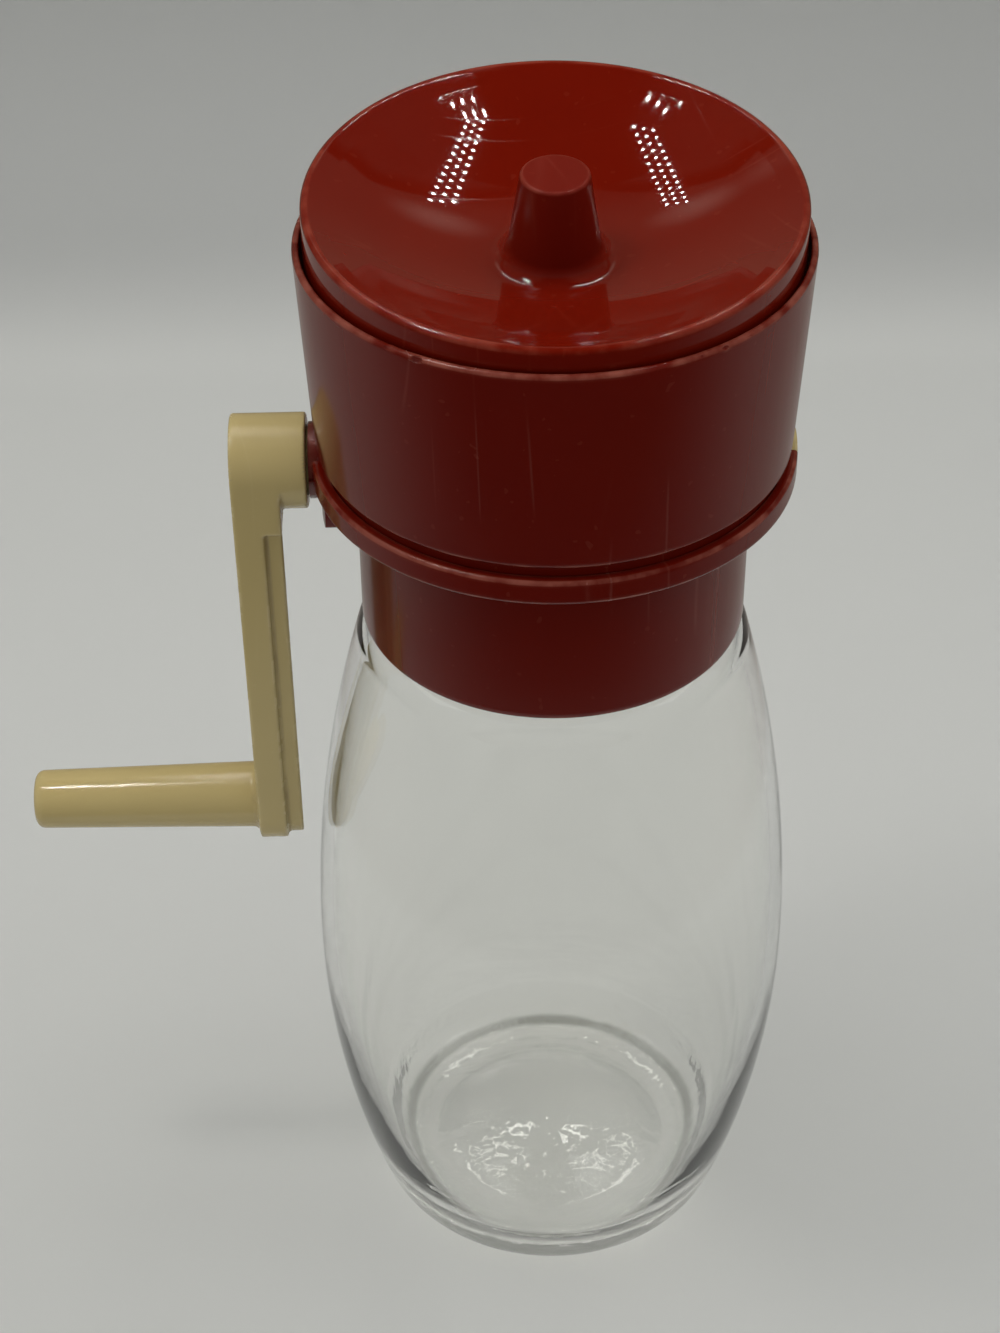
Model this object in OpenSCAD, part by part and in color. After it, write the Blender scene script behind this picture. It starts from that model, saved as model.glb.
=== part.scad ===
// Hand cranked nut grinder: a glass jar, a screw-on grinding head, a lift-off lid and a side crank.
// Millimetres, +Z up, origin at the centre of the jar's foot. The crank's shaft lies along X.

/* [Jar] */
// Height of the jar from its foot to its mouth
jar_h = 160; // [150:1:180]
// Widest outside diameter of the barrel
jar_belly_d = 90.4; // [86:0.2:100]
// Height of the widest point
jar_belly_z = 65; // [55:1:75]
// Outside diameter of the ring that stands on the table
jar_foot_d = 57; // [52:0.5:62]
// Radius of the heel between the foot and the barrel
jar_heel_r = 8; // [5:0.5:10]
// Outside diameter of the round shoulder
jar_shoulder_d = 71.2; // [68:0.2:74]
// Radius of the shoulder
jar_shoulder_r = 8; // [6:0.5:9]
// Thickness of the glass wall
jar_wall = 2.8; // [2:0.1:3.6]
// Thickness of the glass floor
jar_floor = 6; // [4:0.5:9]
// Radius inside the jar between its floor and its wall
jar_inner_heel_r = 6; // [3:0.5:10]
// Width of the flat ring that stands on the table
jar_foot_w = 3; // [2:0.5:6]
// Height of the hollow under the jar's floor
jar_push_up = 1.6; // [0.5:0.1:3]

/* [Neck and thread] */
// Diameter of the neck under its thread
neck_d = 59.6; // [58:0.1:61]
// Thickness of the glass in the neck
neck_wall = 2.8; // [2:0.1:3.6]
// Height of the thread's ridge
thread_h = 1.4; // [1:0.1:1.8]
// Width of the ridge where it grows out of the wall
thread_root_w = 2.2; // [1.6:0.1:2.4]
// Width of the ridge at its crest
thread_crest_w = 1.1; // [0.6:0.1:1.4]
// Rise of the thread in one turn
thread_pitch = 4.2; // [4:0.1:5]
// Turns of thread on the neck and in the collar
thread_turns = 1.25; // [1:0.25:1.5]
// Depth of the thread's start below the mouth
thread_drop = 9; // [8:0.5:10]
// Radial gap between the two threads
thread_gap = 0.5; // [0.4:0.05:0.7]

/* [Seal] */
// Thickness of the sealing ring on the jar's mouth
seal_t = 1.2; // [0.8:0.1:2]
// Gap above and below the sealing ring
seal_gap = 0.05; // [0.02:0.01:0.1]

/* [Collar] */
// Wall of the collar round the thread
collar_wall = 2.3; // [1.8:0.1:3]
// Depth of the collar's lower edge below the jar's mouth
collar_cover = 16; // [14:0.5:18]
// Height of the collar's lower edge above the top of the jar's shoulder
collar_clear = 0.1; // [0.1:0.1:2]
// Height of the collar under its flange
collar_h = 30; // [28:0.5:34]
// Thickness of the flange at its edge
flange_t = 4.5; // [3.5:0.1:6]
// Overhang of the flange past the hopper's foot
flange_overhang = 0.95; // [0.5:0.05:2]
// Depth of the tray in the flange that takes the hopper's foot
tray_depth = 2.5; // [1.5:0.1:3]
// Thickness of the ledge that presses on the seal
ledge_t = 2; // [1.5:0.1:3]
// Width of the bearing lugs under the flange
lug_w = 16; // [14:0.5:20]
// Wall of a bearing lug under the journal
lug_wall = 3.5; // [2:0.1:5]
// Setback of a lug's face from the flange's edge
lug_setback = 1.5; // [0.5:0.1:2]
// Edge break on the collar's and the hopper's visible edges
edge_break = 0.6; // [0.3:0.1:1]

/* [Hopper] */
// Outside diameter of the hopper at its rim
hopper_rim_d = 85; // [80:0.5:95]
// Taper of the hopper: rim radius minus foot radius
hopper_taper = 1.9; // [0.5:0.1:3]
// Height of the hopper's visible wall
hopper_h = 37; // [32:0.5:50]
// Wall of the hopper at its rim
hopper_wall = 1.2; // [1:0.1:2.5]
// Shadow gap between the hopper's foot and the flange
reveal = 2; // [1:0.1:3]
// Width of the ledge that carries the lid
lid_ledge_w = 1.8; // [1.2:0.1:2.4]
// Depth of that ledge below the rim
lid_ledge_depth = 8; // [5:0.5:12]
// Wall of the plug that enters the collar's tray
plug_wall = 2.1; // [1.5:0.1:3]
// Radial gap between that plug and the tray
plug_gap = 0.1; // [0.05:0.05:0.2]
// Thickness of the sloped floor
floor_t = 2; // [1.5:0.1:3]
// Slope of the floor in degrees
floor_slope = 26; // [15:1:32]

/* [Lid] */
// Height of the seated lid's edge above the hopper's rim
lid_rise = 3.8; // [2:0.2:8]
// Tilt of the lid in degrees: it lies askew, with its front on the ledge and its back up
lid_tilt = 5.6; // [0:0.1:6]
// Radius of the lid's upper edge
lid_edge_r = 0.9; // [0.6:0.1:2]
// Width of the straight sloped band inside the lid's edge
lid_band_w = 7.4; // [4:0.2:12]
// Slope of that band in degrees; the round dish starts from it with the same slope
lid_band_slope = 28.8; // [20:0.2:34]
// Wall of the lid
lid_wall = 1.8; // [1.4:0.1:2.4]
// Radial gap between the lid and the hopper's mouth
lid_gap = 0.6; // [0.5:0.05:0.9]
// Gap between the seated lid and its ledge
lid_seat_gap = 0.2; // [0.1:0.05:0.4]
// Diameter of the knob at its top
knob_top_d = 11.4; // [9:0.2:14]
// Diameter of the knob at its base
knob_base_d = 15; // [14:0.2:20]
// Height of the knob above the bottom of the dish
knob_h = 16.4; // [12:0.1:20]
// Radius of the fillet round the knob's base
knob_fillet_r = 3.2; // [1.5:0.1:5]

/* [Shaft and crank] */
// Height of the shaft's axis above the flange's underside
shaft_rise = 1; // [0:0.1:1.5]
// Diameter of the two journals
journal_d = 11; // [10:0.1:12]
// Radial running gap between a journal and its saddle
journal_gap = 0.08; // [0.02:0.01:0.1]
// How far the far journal stands proud of the flange
journal_proud = 0.35; // [0.1:0.05:1]
// Diameter of the thrust shoulder on each journal
shoulder_d = 14; // [13:0.5:16]
// Thickness of a thrust shoulder
shoulder_t = 1.5; // [1:0.1:2.5]
// End play of the rotor in its chute
end_play = 0.4; // [0.3:0.05:0.6]
// Side of the square shaft
shaft_side = 5; // [4:0.1:6]
// Depth of the square socket in each journal
socket_depth = 12; // [8:0.5:14]
// Gap round the square shaft
shaft_gap = 0.05; // [0.02:0.01:0.1]
// Diameter of the crank's boss
boss_d = 16.5; // [16:0.1:20]
// Gap between the boss and the flange
boss_gap = 0.55; // [0.3:0.05:1]
// Gap between the arm and the jar's belly
arm_gap = 1.6; // [1:0.1:6]
// Distance from the shaft's axis to the handle's axis
crank_throw = 75.8; // [60:0.2:90]
// Width of the arm
arm_w = 16.5; // [15:0.1:18]
// Thickness of the arm's outer bar
arm_t = 5.2; // [4:0.1:7]
// Thickness of the stiffening rib on the arm's inner side
rib_t = 3.1; // [2:0.1:4]
// Setback of the rib from the edges of the arm
rib_setback = 1.1; // [0.6:0.1:2]
// Length of full thickness arm under the boss
arm_root_h = 4; // [2:0.5:8]
// Length of the handle
handle_len = 42.2; // [35:0.2:60]
// Diameter of the handle at the arm
handle_root_d = 12.4; // [11:0.1:14]
// Diameter of the handle at its end
handle_tip_d = 11; // [9:0.1:13]
// Radius of the handle's end edge
handle_tip_r = 1.6; // [0.8:0.1:3]
// Radius of the fillet between the handle and the arm
handle_fillet_r = 1.2; // [0.6:0.1:1.8]

/* [Rotor and combs] */
// Number of rotor blades
blade_n = 7; // [5:2:7]
// Distance from blade to blade
blade_pitch = 5.6; // [5:0.1:5.8]
// Thickness of a blade
blade_t = 1.5; // [1:0.1:1.8]
// Radius swept by the blades' tines
blade_r = 12.5; // [11:0.1:13]
// Number of tines on a blade
tine_n = 4; // [3:1:6]
// Width of a tine at the hub
tine_root_w = 4.4; // [3:0.1:5]
// Width of a tine at its tip
tine_tip_w = 2.2; // [1:0.1:3]
// Diameter of a blade's hub
blade_hub_d = 12; // [10:0.5:14]
// Outside diameter of a spacer
spacer_d = 9; // [8.8:0.1:9.6]
// Thickness of the comb plates
comb_t = 1.2; // [0.8:0.1:2]
// Width of a finger of the coarse comb
coarse_finger_w = 1.6; // [1.2:0.1:2]
// Width of a finger of the fine comb
fine_finger_w = 3; // [2.4:0.1:3.2]
// Gap between a finger's tip and the spacers
finger_gap = 0.6; // [0.4:0.1:1]
// Width of the comb plates outside the throat
comb_land = 10; // [8:0.5:12]
// Gap between the blades' tips and the throat
throat_gap = 1.5; // [1:0.1:2]
// Wall of the chute and of the throat
throat_wall = 2; // [1.5:0.1:2.4]
// Thickness of the chute's top plate
chute_plate_t = 2; // [1.5:0.1:3]
// Gap round the chute and over the combs
drop_in_gap = 0.3; // [0.2:0.05:0.5]
// Diameter of a comb rivet's shank
rivet_d = 3; // [2:0.1:3.5]
// Diameter of a comb rivet's head
rivet_head_d = 5; // [4:0.1:6]
// Height of a comb rivet's head
rivet_head_h = 1.1; // [0.8:0.1:1.5]
// Distance from rivet to rivet along a comb
rivet_span = 28; // [20:0.5:32]
// Radial gap round a rivet's shank
rivet_gap = 0.05; // [0.02:0.01:0.1]

/* [Hidden] */
$fn = 96;
RED = [0.55, 0.08, 0.05];
CREAM = [0.82, 0.72, 0.50];
GLASS = [0.80, 0.86, 0.85, 0.4];
STEEL = [0.70, 0.71, 0.72];
SEAL = [0.86, 0.84, 0.78];

// How far joined solids overlap, how far a cut runs past a wall, and the least distance of two
// points of an outline
bite = 0.4;
past = 1;
point_step = 0.01;

// Radii of the jar
belly_r = jar_belly_d / 2;
foot_r = jar_foot_d / 2;
neck_r = neck_d / 2;
mouth_r = neck_r - neck_wall;
crest_r = neck_r + thread_h;

// Heights from the table up
seat_z = jar_h + seal_t + 2 * seal_gap;
ledge_z = seat_z + ledge_t;
collar_z = jar_h - collar_cover;
shoulder_top_z = collar_z - collar_clear;
flange_z = collar_z + collar_h;
flange_top_z = flange_z + flange_t;
tray_z = flange_top_z - tray_depth;
shaft_z = flange_z + shaft_rise;
hopper_z = flange_top_z + reveal;
rim_z = hopper_z + hopper_h;
lid_ledge_z = rim_z - lid_ledge_depth;
lid_rim_z = rim_z + lid_rise;
thread_z = jar_h - thread_drop;

// Radii of the collar, the hopper and the lid
socket_r = crest_r + thread_gap;
collar_r = socket_r + collar_wall;
rim_r = hopper_rim_d / 2;
hopper_foot_r = rim_r - hopper_taper;
flange_r = hopper_foot_r + flange_overhang;
plug_r = hopper_foot_r - hopper_wall;
tray_r = plug_r + plug_gap;
plug_in_r = plug_r - plug_wall;
lug_r = flange_r - lug_setback;
hopper_mouth_r = rim_r - hopper_wall;
hopper_in_r = hopper_mouth_r - lid_ledge_w;
lid_r = hopper_mouth_r - lid_gap;
journal_r = journal_d / 2;
lug_z = shaft_z - journal_r - lug_wall;

// The rotor along the shaft and the throat round it
spacer_len = blade_pitch - blade_t;
stack_half = (blade_n * blade_t + (blade_n + 1) * spacer_len) / 2;
throat_x = stack_half + shoulder_t + end_play;
throat_y = blade_r + throat_gap;
shaft_half = stack_half + socket_depth;
comb_z = shaft_z - comb_t / 2;
comb_top_z = shaft_z + comb_t / 2;
finger_tip_y = spacer_d / 2 + finger_gap;
rivet_y = throat_y + comb_land / 2;

// The hopper's floor is a cone whose lowest ring lies just inside the throat's long sides
floor_low_z = hopper_z;
floor_low_r = throat_y - past;
floor_rise = tan(floor_slope);

// The crank's places along X, which is negative on its side
boss_in_x = flange_r + boss_gap;
arm_in_x = max(belly_r, boss_in_x) + arm_gap;
bar_in_x = arm_in_x + rib_t;
arm_out_x = bar_in_x + arm_t;
handle_z = shaft_z - crank_throw;

FIXED_NODES = [
    "glass_jar", "jar_seal", "collar", "chute", "coarse_comb", "fine_comb", "comb_rivets",
    "hopper", "lid", "crank", "shaft", "end_journal"
];
BLADE_NODES = [for (i = [1:blade_n]) str("rotor_blade_", i)];
SPACER_NODES = [for (i = [1:blade_n + 1]) str("rotor_spacer_", i)];

// Points of an arc about a centre, from one angle to another. Where the outline already has the
// arc's start, the first point is 1.
function arc(centre, r, from, to, steps, first = 0) =
    [for (i = [first:steps]) let (a = from + (to - from) * i / steps) centre + r * [cos(a), sin(a)]];

function limit(value) = max(0, min(1, value));

// The barrel is two arcs that meet at the belly with upright tangents. The upper one runs on into
// the round shoulder, the lower one into the round heel.
shoulder_c = [jar_shoulder_d / 2 - jar_shoulder_r, shoulder_top_z - jar_shoulder_r];
shoulder_q = shoulder_c[0] - belly_r;
shoulder_p = shoulder_c[1] - jar_belly_z;
upper_r = (pow(jar_shoulder_r, 2) - pow(shoulder_q, 2) - pow(shoulder_p, 2))
    / (2 * (shoulder_q + jar_shoulder_r));
upper_c = [belly_r - upper_r, jar_belly_z];
heel_q = foot_r - belly_r;
heel_p = jar_heel_r - jar_belly_z;
lower_r = (pow(jar_heel_r, 2) - pow(heel_q, 2) - pow(heel_p, 2)) / (2 * (heel_q + jar_heel_r));
lower_c = [belly_r - lower_r, jar_belly_z];
heel_c = [foot_r, jar_heel_r];
foot_in_r = foot_r - jar_foot_w;
hollow_r = (pow(foot_in_r, 2) + pow(jar_push_up, 2)) / (2 * jar_push_up);
heel_a = atan2(heel_p, foot_r - lower_c[0]);

// The shoulder ends at the neck, outside and inside
turn_a = atan2(shoulder_p, shoulder_c[0] - upper_c[0]);
shoulder_in_r = jar_shoulder_r - jar_wall;
neck_a = acos(limit((neck_r - shoulder_c[0]) / jar_shoulder_r));
mouth_a = acos(limit((mouth_r - shoulder_c[0]) / shoulder_in_r));

// Inside, the heel is a rounder arc that meets the thick floor
inner_heel_z = jar_floor + jar_inner_heel_r;
inner_lower_r = lower_r - jar_wall;
inner_heel_x = lower_c[0]
    + sqrt(pow(inner_lower_r - jar_inner_heel_r, 2) - pow(inner_heel_z - jar_belly_z, 2));
inner_heel_a = atan2(inner_heel_z - jar_belly_z, inner_heel_x - lower_c[0]);

// Section of the jar: up the outside, over the lip and down the inside
function jar_section() = concat(
    arc([0, jar_push_up - hollow_r], hollow_r, 90, acos(foot_in_r / hollow_r), 5),
    arc(heel_c, jar_heel_r, -90, heel_a, 8),
    arc(lower_c, lower_r, heel_a, 0, 14, 1),
    arc(upper_c, upper_r, 0, turn_a, 16, 1),
    arc(shoulder_c, jar_shoulder_r, turn_a, neck_a, 7, 1),
    [[neck_r, shoulder_c[1] + jar_shoulder_r * sin(neck_a) + point_step]],
    arc([neck_r - edge_break, jar_h - edge_break], edge_break, 0, 90, 4),
    arc([mouth_r + edge_break, jar_h - edge_break], edge_break, 90, 180, 4),
    [[mouth_r, shoulder_c[1] + shoulder_in_r * sin(mouth_a) + point_step]],
    arc(shoulder_c, shoulder_in_r, mouth_a, turn_a, 7),
    arc(upper_c, upper_r - jar_wall, turn_a, 0, 16, 1),
    arc(lower_c, inner_lower_r, 0, inner_heel_a, 14, 1),
    arc([inner_heel_x, inner_heel_z], jar_inner_heel_r, inner_heel_a, -90, 6, 1),
    [[0, jar_floor]]
);

// Helical ridge that fades in and out at its ends. The tip may lie outside or inside the root.
thread_steps = 48;
fade_steps = 5;
thread_end = 0.2;

module helix_ridge(root_r, tip_r, start_z) {
    n = round(thread_turns * thread_steps);
    function corners(i) =
        let (tip = root_r + (tip_r - root_r) * max(thread_end, min(1, min(i, n - i) / fade_steps)))
        tip_r > root_r
            ? [[root_r, -thread_root_w / 2], [tip, -thread_crest_w / 2],
               [tip, thread_crest_w / 2], [root_r, thread_root_w / 2]]
            : [[tip, -thread_crest_w / 2], [root_r, -thread_root_w / 2],
               [root_r, thread_root_w / 2], [tip, thread_crest_w / 2]];
    points = [for (i = [0:n], c = corners(i))
        let (a = 360 * i / thread_steps)
        [c[0] * cos(a), c[0] * sin(a), start_z + thread_pitch * i / thread_steps + c[1]]];
    sides = [for (i = [0:n - 1], j = [0:3], half = [0, 1])
        let (a = 4 * i + j, b = 4 * i + (j + 1) % 4)
        half == 0 ? [a, b, b + 4] : [a, b + 4, a + 4]];
    ends = [[0, 3, 2], [0, 2, 1], [4 * n, 4 * n + 1, 4 * n + 2], [4 * n, 4 * n + 2, 4 * n + 3]];
    polyhedron(points, concat(sides, ends));
}

// Cylinder along X from x0 to x1 on the shaft's axis
module along_shaft(r, x0, x1) {
    translate([x0, 0, shaft_z]) rotate([0, 90, 0]) cylinder(r = r, h = x1 - x0);
}

// Square prism along the shaft
module square_along_shaft(side, x0, x1) {
    translate([x0, -side / 2, shaft_z - side / 2]) cube([x1 - x0, side, side]);
}

// Box that is centred in X and Y
module block(x, y, z0, z1) {
    translate([-x, -y, z0]) cube([2 * x, 2 * y, z1 - z0]);
}

module glass_jar() {
    color(GLASS) union() {
        rotate_extrude() polygon(jar_section());
        helix_ridge(neck_r - bite, crest_r, thread_z);
    }
}

module jar_seal() {
    color(SEAL) translate([0, 0, jar_h + seal_gap]) difference() {
        cylinder(r = crest_r, h = seal_t);
        translate([0, 0, -past]) cylinder(r = mouth_r, h = seal_t + 2 * past);
    }
}

// Threaded collar with its flange, tray, seal ledge and the two bearing lugs
module collar() {
    saddle_r = journal_r + journal_gap;
    color(RED) union() {
        difference() {
            union() {
                rotate_extrude() polygon([
                    [socket_r + edge_break, collar_z], [collar_r - edge_break, collar_z],
                    [collar_r, collar_z + edge_break], [collar_r, flange_z],
                    [flange_r - edge_break, flange_z], [flange_r, flange_z + edge_break],
                    [flange_r, flange_top_z - edge_break], [flange_r - edge_break, flange_top_z],
                    [tray_r, flange_top_z], [tray_r, tray_z], [socket_r, tray_z], [socket_r, ledge_z],
                    [mouth_r, ledge_z], [mouth_r, seat_z], [socket_r, seat_z],
                    [socket_r, collar_z + edge_break]
                ]);
                intersection() {
                    block(lug_r, lug_w / 2, lug_z, flange_z + bite);
                    difference() {
                        cylinder(r = lug_r, h = rim_z);
                        translate([0, 0, -past])
                            cylinder(r = socket_r + collar_wall / 2, h = rim_z + 2 * past);
                    }
                }
            }
            along_shaft(saddle_r, -flange_r - past, flange_r + past);
            block(flange_r + past, saddle_r, shaft_z, flange_top_z + past);
        }
        helix_ridge(socket_r + bite, neck_r + thread_gap, thread_z - thread_pitch / 2);
    }
}

// Drop-in trough that stands on the collar's ledge and carries the combs
module chute() {
    plate_r = socket_r - drop_in_gap;
    color(RED) difference() {
        union() {
            translate([0, 0, comb_z - chute_plate_t]) cylinder(r = plate_r, h = chute_plate_t);
            intersection() {
                block(throat_x + throat_wall, throat_y + throat_wall, ledge_z, comb_z);
                cylinder(r = plate_r, h = rim_z);
            }
        }
        block(throat_x, throat_y, ledge_z - past, comb_z + past);
        along_shaft(journal_r + drop_in_gap, -plate_r - past, plate_r + past);
        rivet_holes(comb_z - chute_plate_t, comb_z);
    }
}

module comb_rivet_places() {
    for (sx = [-1, 1], sy = [-1, 1])
        translate([sx * rivet_span / 2, sy * rivet_y, 0]) children();
}

// Holes for the four rivets through a plate between two heights
module rivet_holes(z0, z1) {
    comb_rivet_places() translate([0, 0, z0 - past])
        cylinder(r = rivet_d / 2 + rivet_gap, h = z1 - z0 + 2 * past);
}

// Steel comb plate whose fingers reach in between the blades; side is 1 or -1 in Y
module comb(finger_w, side) {
    color(STEEL) difference() {
        translate([0, 0, comb_z]) linear_extrude(comb_t) on_side(side) union() {
            intersection() {
                translate([-throat_x, throat_y - bite]) square([2 * throat_x, comb_land + bite]);
                circle(r = socket_r - 3 * drop_in_gap);
            }
            for (k = [0:blade_n])
                translate([(k - blade_n / 2) * blade_pitch - finger_w / 2, finger_tip_y])
                    square([finger_w, throat_y - finger_tip_y]);
        }
        rivet_holes(comb_z, comb_top_z);
    }
}

// The shape itself, or its mirror image across the X axis
module on_side(side) {
    if (side > 0) children();
    else mirror([0, 1]) children();
}

module coarse_comb() {
    comb(coarse_finger_w, -1);
}

module fine_comb() {
    comb(fine_finger_w, 1);
}

// Four rivets, each with a head over the comb and a head under the chute's plate
module comb_rivets() {
    under_z = comb_z - chute_plate_t;
    color(STEEL) comb_rivet_places() union() {
        translate([0, 0, under_z - bite]) cylinder(d = rivet_d, h = comb_top_z - under_z + 2 * bite);
        translate([0, 0, comb_top_z]) cylinder(d = rivet_head_d, h = rivet_head_h);
        translate([0, 0, under_z - rivet_head_h]) cylinder(d = rivet_head_d, h = rivet_head_h);
    }
}

// Height of the sloped floor's upper side at a distance from the axis
function floor_z(r) = floor_low_z + (r - floor_low_r) * floor_rise;

module hopper() {
    wall_low_r = hopper_in_r - hopper_taper / 2;
    color(RED) difference() {
        union() {
            rotate_extrude() polygon(concat(
                [[plug_r, tray_z], [plug_r, hopper_z], [hopper_foot_r - edge_break, hopper_z],
                 [hopper_foot_r, hopper_z + edge_break]],
                arc([rim_r - edge_break, rim_z - edge_break], edge_break, 0, 90, 4),
                [[hopper_mouth_r, rim_z], [hopper_mouth_r, lid_ledge_z], [hopper_in_r, lid_ledge_z],
                 [wall_low_r, floor_z(wall_low_r)], [floor_low_r, floor_low_z],
                 [floor_low_r, floor_low_z - floor_t], [plug_in_r, floor_z(plug_in_r) - floor_t],
                 [plug_in_r, tray_z]]
            ));
            intersection() {
                block(throat_x + throat_wall, throat_y + throat_wall, comb_top_z + drop_in_gap, rim_z);
                rotate_extrude() polygon([
                    [0, comb_z], [plug_in_r, comb_z], [plug_in_r, floor_z(plug_in_r) - bite],
                    [floor_low_r, floor_low_z - bite], [0, floor_low_z - bite]
                ]);
            }
        }
        block(throat_x, throat_y, comb_z, rim_z);
        along_shaft(journal_r + journal_gap, -rim_r, rim_r);
    }
}

// Dished lid with a hollow knob. The dish is part of a sphere that touches the sloped band's cone.
// The tilted lid is moved back, so that its skirt stays clear of the hopper's mouth all round.
module lid() {
    low_z = lid_ledge_z + lid_seat_gap;
    band_out = [-sin(lid_band_slope), cos(lid_band_slope)];
    edge_c = [lid_r - lid_edge_r, lid_rim_z - lid_edge_r];
    band_end = edge_c + lid_edge_r * band_out - lid_band_w * [1, tan(lid_band_slope)];
    sphere_r = band_end[0] / sin(lid_band_slope);
    centre = [0, band_end[1] + sphere_r * cos(lid_band_slope)];
    dish_z = centre[1] - sphere_r;
    fillet_x = knob_base_d / 2 + knob_fillet_r;
    foot_a = asin(fillet_x / (sphere_r - knob_fillet_r));
    fillet_c = [fillet_x, centre[1] - (sphere_r - knob_fillet_r) * cos(foot_a)];
    knob_z = dish_z + knob_h;
    under_r = sphere_r + lid_wall;
    under_a = asin((knob_base_d / 2 - lid_wall) / under_r);
    under_end = band_end - lid_wall * band_out;
    skirt_in_r = lid_r - lid_wall;
    color(RED) translate([0, lid_ledge_depth / 2 * sin(lid_tilt), low_z + lid_r * sin(lid_tilt)])
        rotate([lid_tilt, 0, 0]) translate([0, 0, -low_z]) rotate_extrude() polygon(concat(
        [[lid_r, low_z]],
        arc(edge_c, lid_edge_r, 0, 90 + lid_band_slope, 8),
        arc(centre, sphere_r, lid_band_slope - 90, foot_a - 90, 20),
        arc(fillet_c, knob_fillet_r, foot_a - 90, -180, 6, 1),
        arc([knob_top_d / 2 - edge_break, knob_z - edge_break], edge_break, 0, 90, 4),
        [[0, knob_z], [0, knob_z - lid_wall], [knob_top_d / 2 - lid_wall, knob_z - lid_wall]],
        arc(centre, under_r, under_a - 90, lid_band_slope - 90, 20),
        [[skirt_in_r, under_end[1] + (skirt_in_r - under_end[0]) * tan(lid_band_slope)],
         [skirt_in_r, low_z]]
    ));
}

// Journal with its thrust shoulder and square socket, from the rotor out to a given X
module journal(end_x) {
    difference() {
        union() {
            along_shaft(journal_r, stack_half, end_x);
            along_shaft(shoulder_d / 2, stack_half, stack_half + shoulder_t);
        }
        square_along_shaft(shaft_side + 2 * shaft_gap, stack_half - past, shaft_half + shaft_gap);
    }
}

// Bar of the arm with round ends, between two planes of X, on the side where X is negative
module arm_bar(width, x0, x1) {
    translate([-x1, 0, 0]) rotate([0, 90, 0]) linear_extrude(x1 - x0) union() {
        translate([-shaft_z, 0]) circle(d = width);
        translate([-handle_z, 0]) circle(d = width);
        translate([-shaft_z, -width / 2]) square([crank_throw, width]);
    }
}

// Crank in one moulding: handle, arm, boss and the near journal
module crank() {
    boss_r = boss_d / 2;
    tip_x = arm_out_x + handle_len;
    root_r = handle_root_d / 2;
    tip_r = handle_tip_d / 2;
    color(CREAM) union() {
        mirror([1, 0, 0]) journal(boss_in_x + bite);
        translate([0, 0, shaft_z]) rotate([0, -90, 0]) rotate_extrude() polygon(concat(
            [[0, boss_in_x], [boss_r - edge_break, boss_in_x], [boss_r, boss_in_x + edge_break]],
            arc([boss_r - edge_break, arm_out_x - edge_break], edge_break, 0, 90, 4),
            [[0, arm_out_x]]
        ));
        arm_bar(arm_w, bar_in_x, arm_out_x);
        arm_bar(arm_w - 2 * rib_setback, arm_in_x, bar_in_x + bite);
        translate([-bar_in_x - bite, -arm_w / 2, shaft_z - boss_r - arm_root_h])
            cube([rib_t + bite, arm_w, boss_r + arm_root_h]);
        translate([0, 0, handle_z]) rotate([0, -90, 0]) rotate_extrude() polygon(concat(
            [[0, arm_out_x - bite], [root_r + handle_fillet_r, arm_out_x - bite]],
            arc([root_r + handle_fillet_r, arm_out_x + handle_fillet_r], handle_fillet_r, 270, 180, 5),
            arc([tip_r - handle_tip_r, tip_x - handle_tip_r], handle_tip_r, 0, 90, 5),
            [[0, tip_x]]
        ));
    }
}

module shaft() {
    color(STEEL) square_along_shaft(shaft_side, -shaft_half, shaft_half);
}

module end_journal() {
    color(CREAM) journal(flange_r + journal_proud);
}

// Place of a blade's middle along the shaft, counted from 1 on the crank's side
function blade_x(i) = (i - (blade_n + 1) / 2) * blade_pitch;

// Star blade; every other one is turned by half the angle between its tines
module rotor_blade(i) {
    turn = (i % 2) * 180 / tine_n;
    color(STEEL) translate([blade_x(i) - blade_t / 2, 0, shaft_z]) rotate([90, 0, 90])
        linear_extrude(blade_t) difference() {
            union() {
                circle(d = blade_hub_d);
                for (k = [0:tine_n - 1])
                    rotate(turn + k * 360 / tine_n) polygon([
                        [0, -tine_root_w / 2], [blade_r - tine_tip_w / 2, -tine_tip_w / 2],
                        [blade_r, 0], [blade_r - tine_tip_w / 2, tine_tip_w / 2], [0, tine_root_w / 2]
                    ]);
            }
            square(shaft_side + 2 * shaft_gap, center = true);
        }
}

// Tube between two blades, or between the last blade and its journal
module rotor_spacer(i) {
    x0 = blade_x(i) - blade_pitch + blade_t / 2;
    bore_r = shaft_side / sqrt(2) + shaft_gap;
    color(STEEL) difference() {
        along_shaft(spacer_d / 2, x0, x0 + spacer_len);
        along_shaft(bore_r, x0 - past, x0 + spacer_len + past);
    }
}

glass_jar();
jar_seal();
collar();
chute();
coarse_comb();
fine_comb();
comb_rivets();
hopper();
lid();
crank();
shaft();
end_journal();
for (i = [1:blade_n]) rotor_blade(i);
for (i = [1:blade_n + 1]) rotor_spacer(i);
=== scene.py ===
"""Looks of a hand cranked nut grinder: glass jar, red grinding head, dished lid and cream crank.

Lengths are metres in the frame of the solids: +Z up, the jar's foot at the origin, the shaft along X.
"""

import logging
import math
from dataclasses import dataclass
from enum import Enum
from typing import Dict, List, Optional, Sequence, Tuple, Union

import bmesh
import bpy
from mathutils import Matrix, Vector


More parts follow.
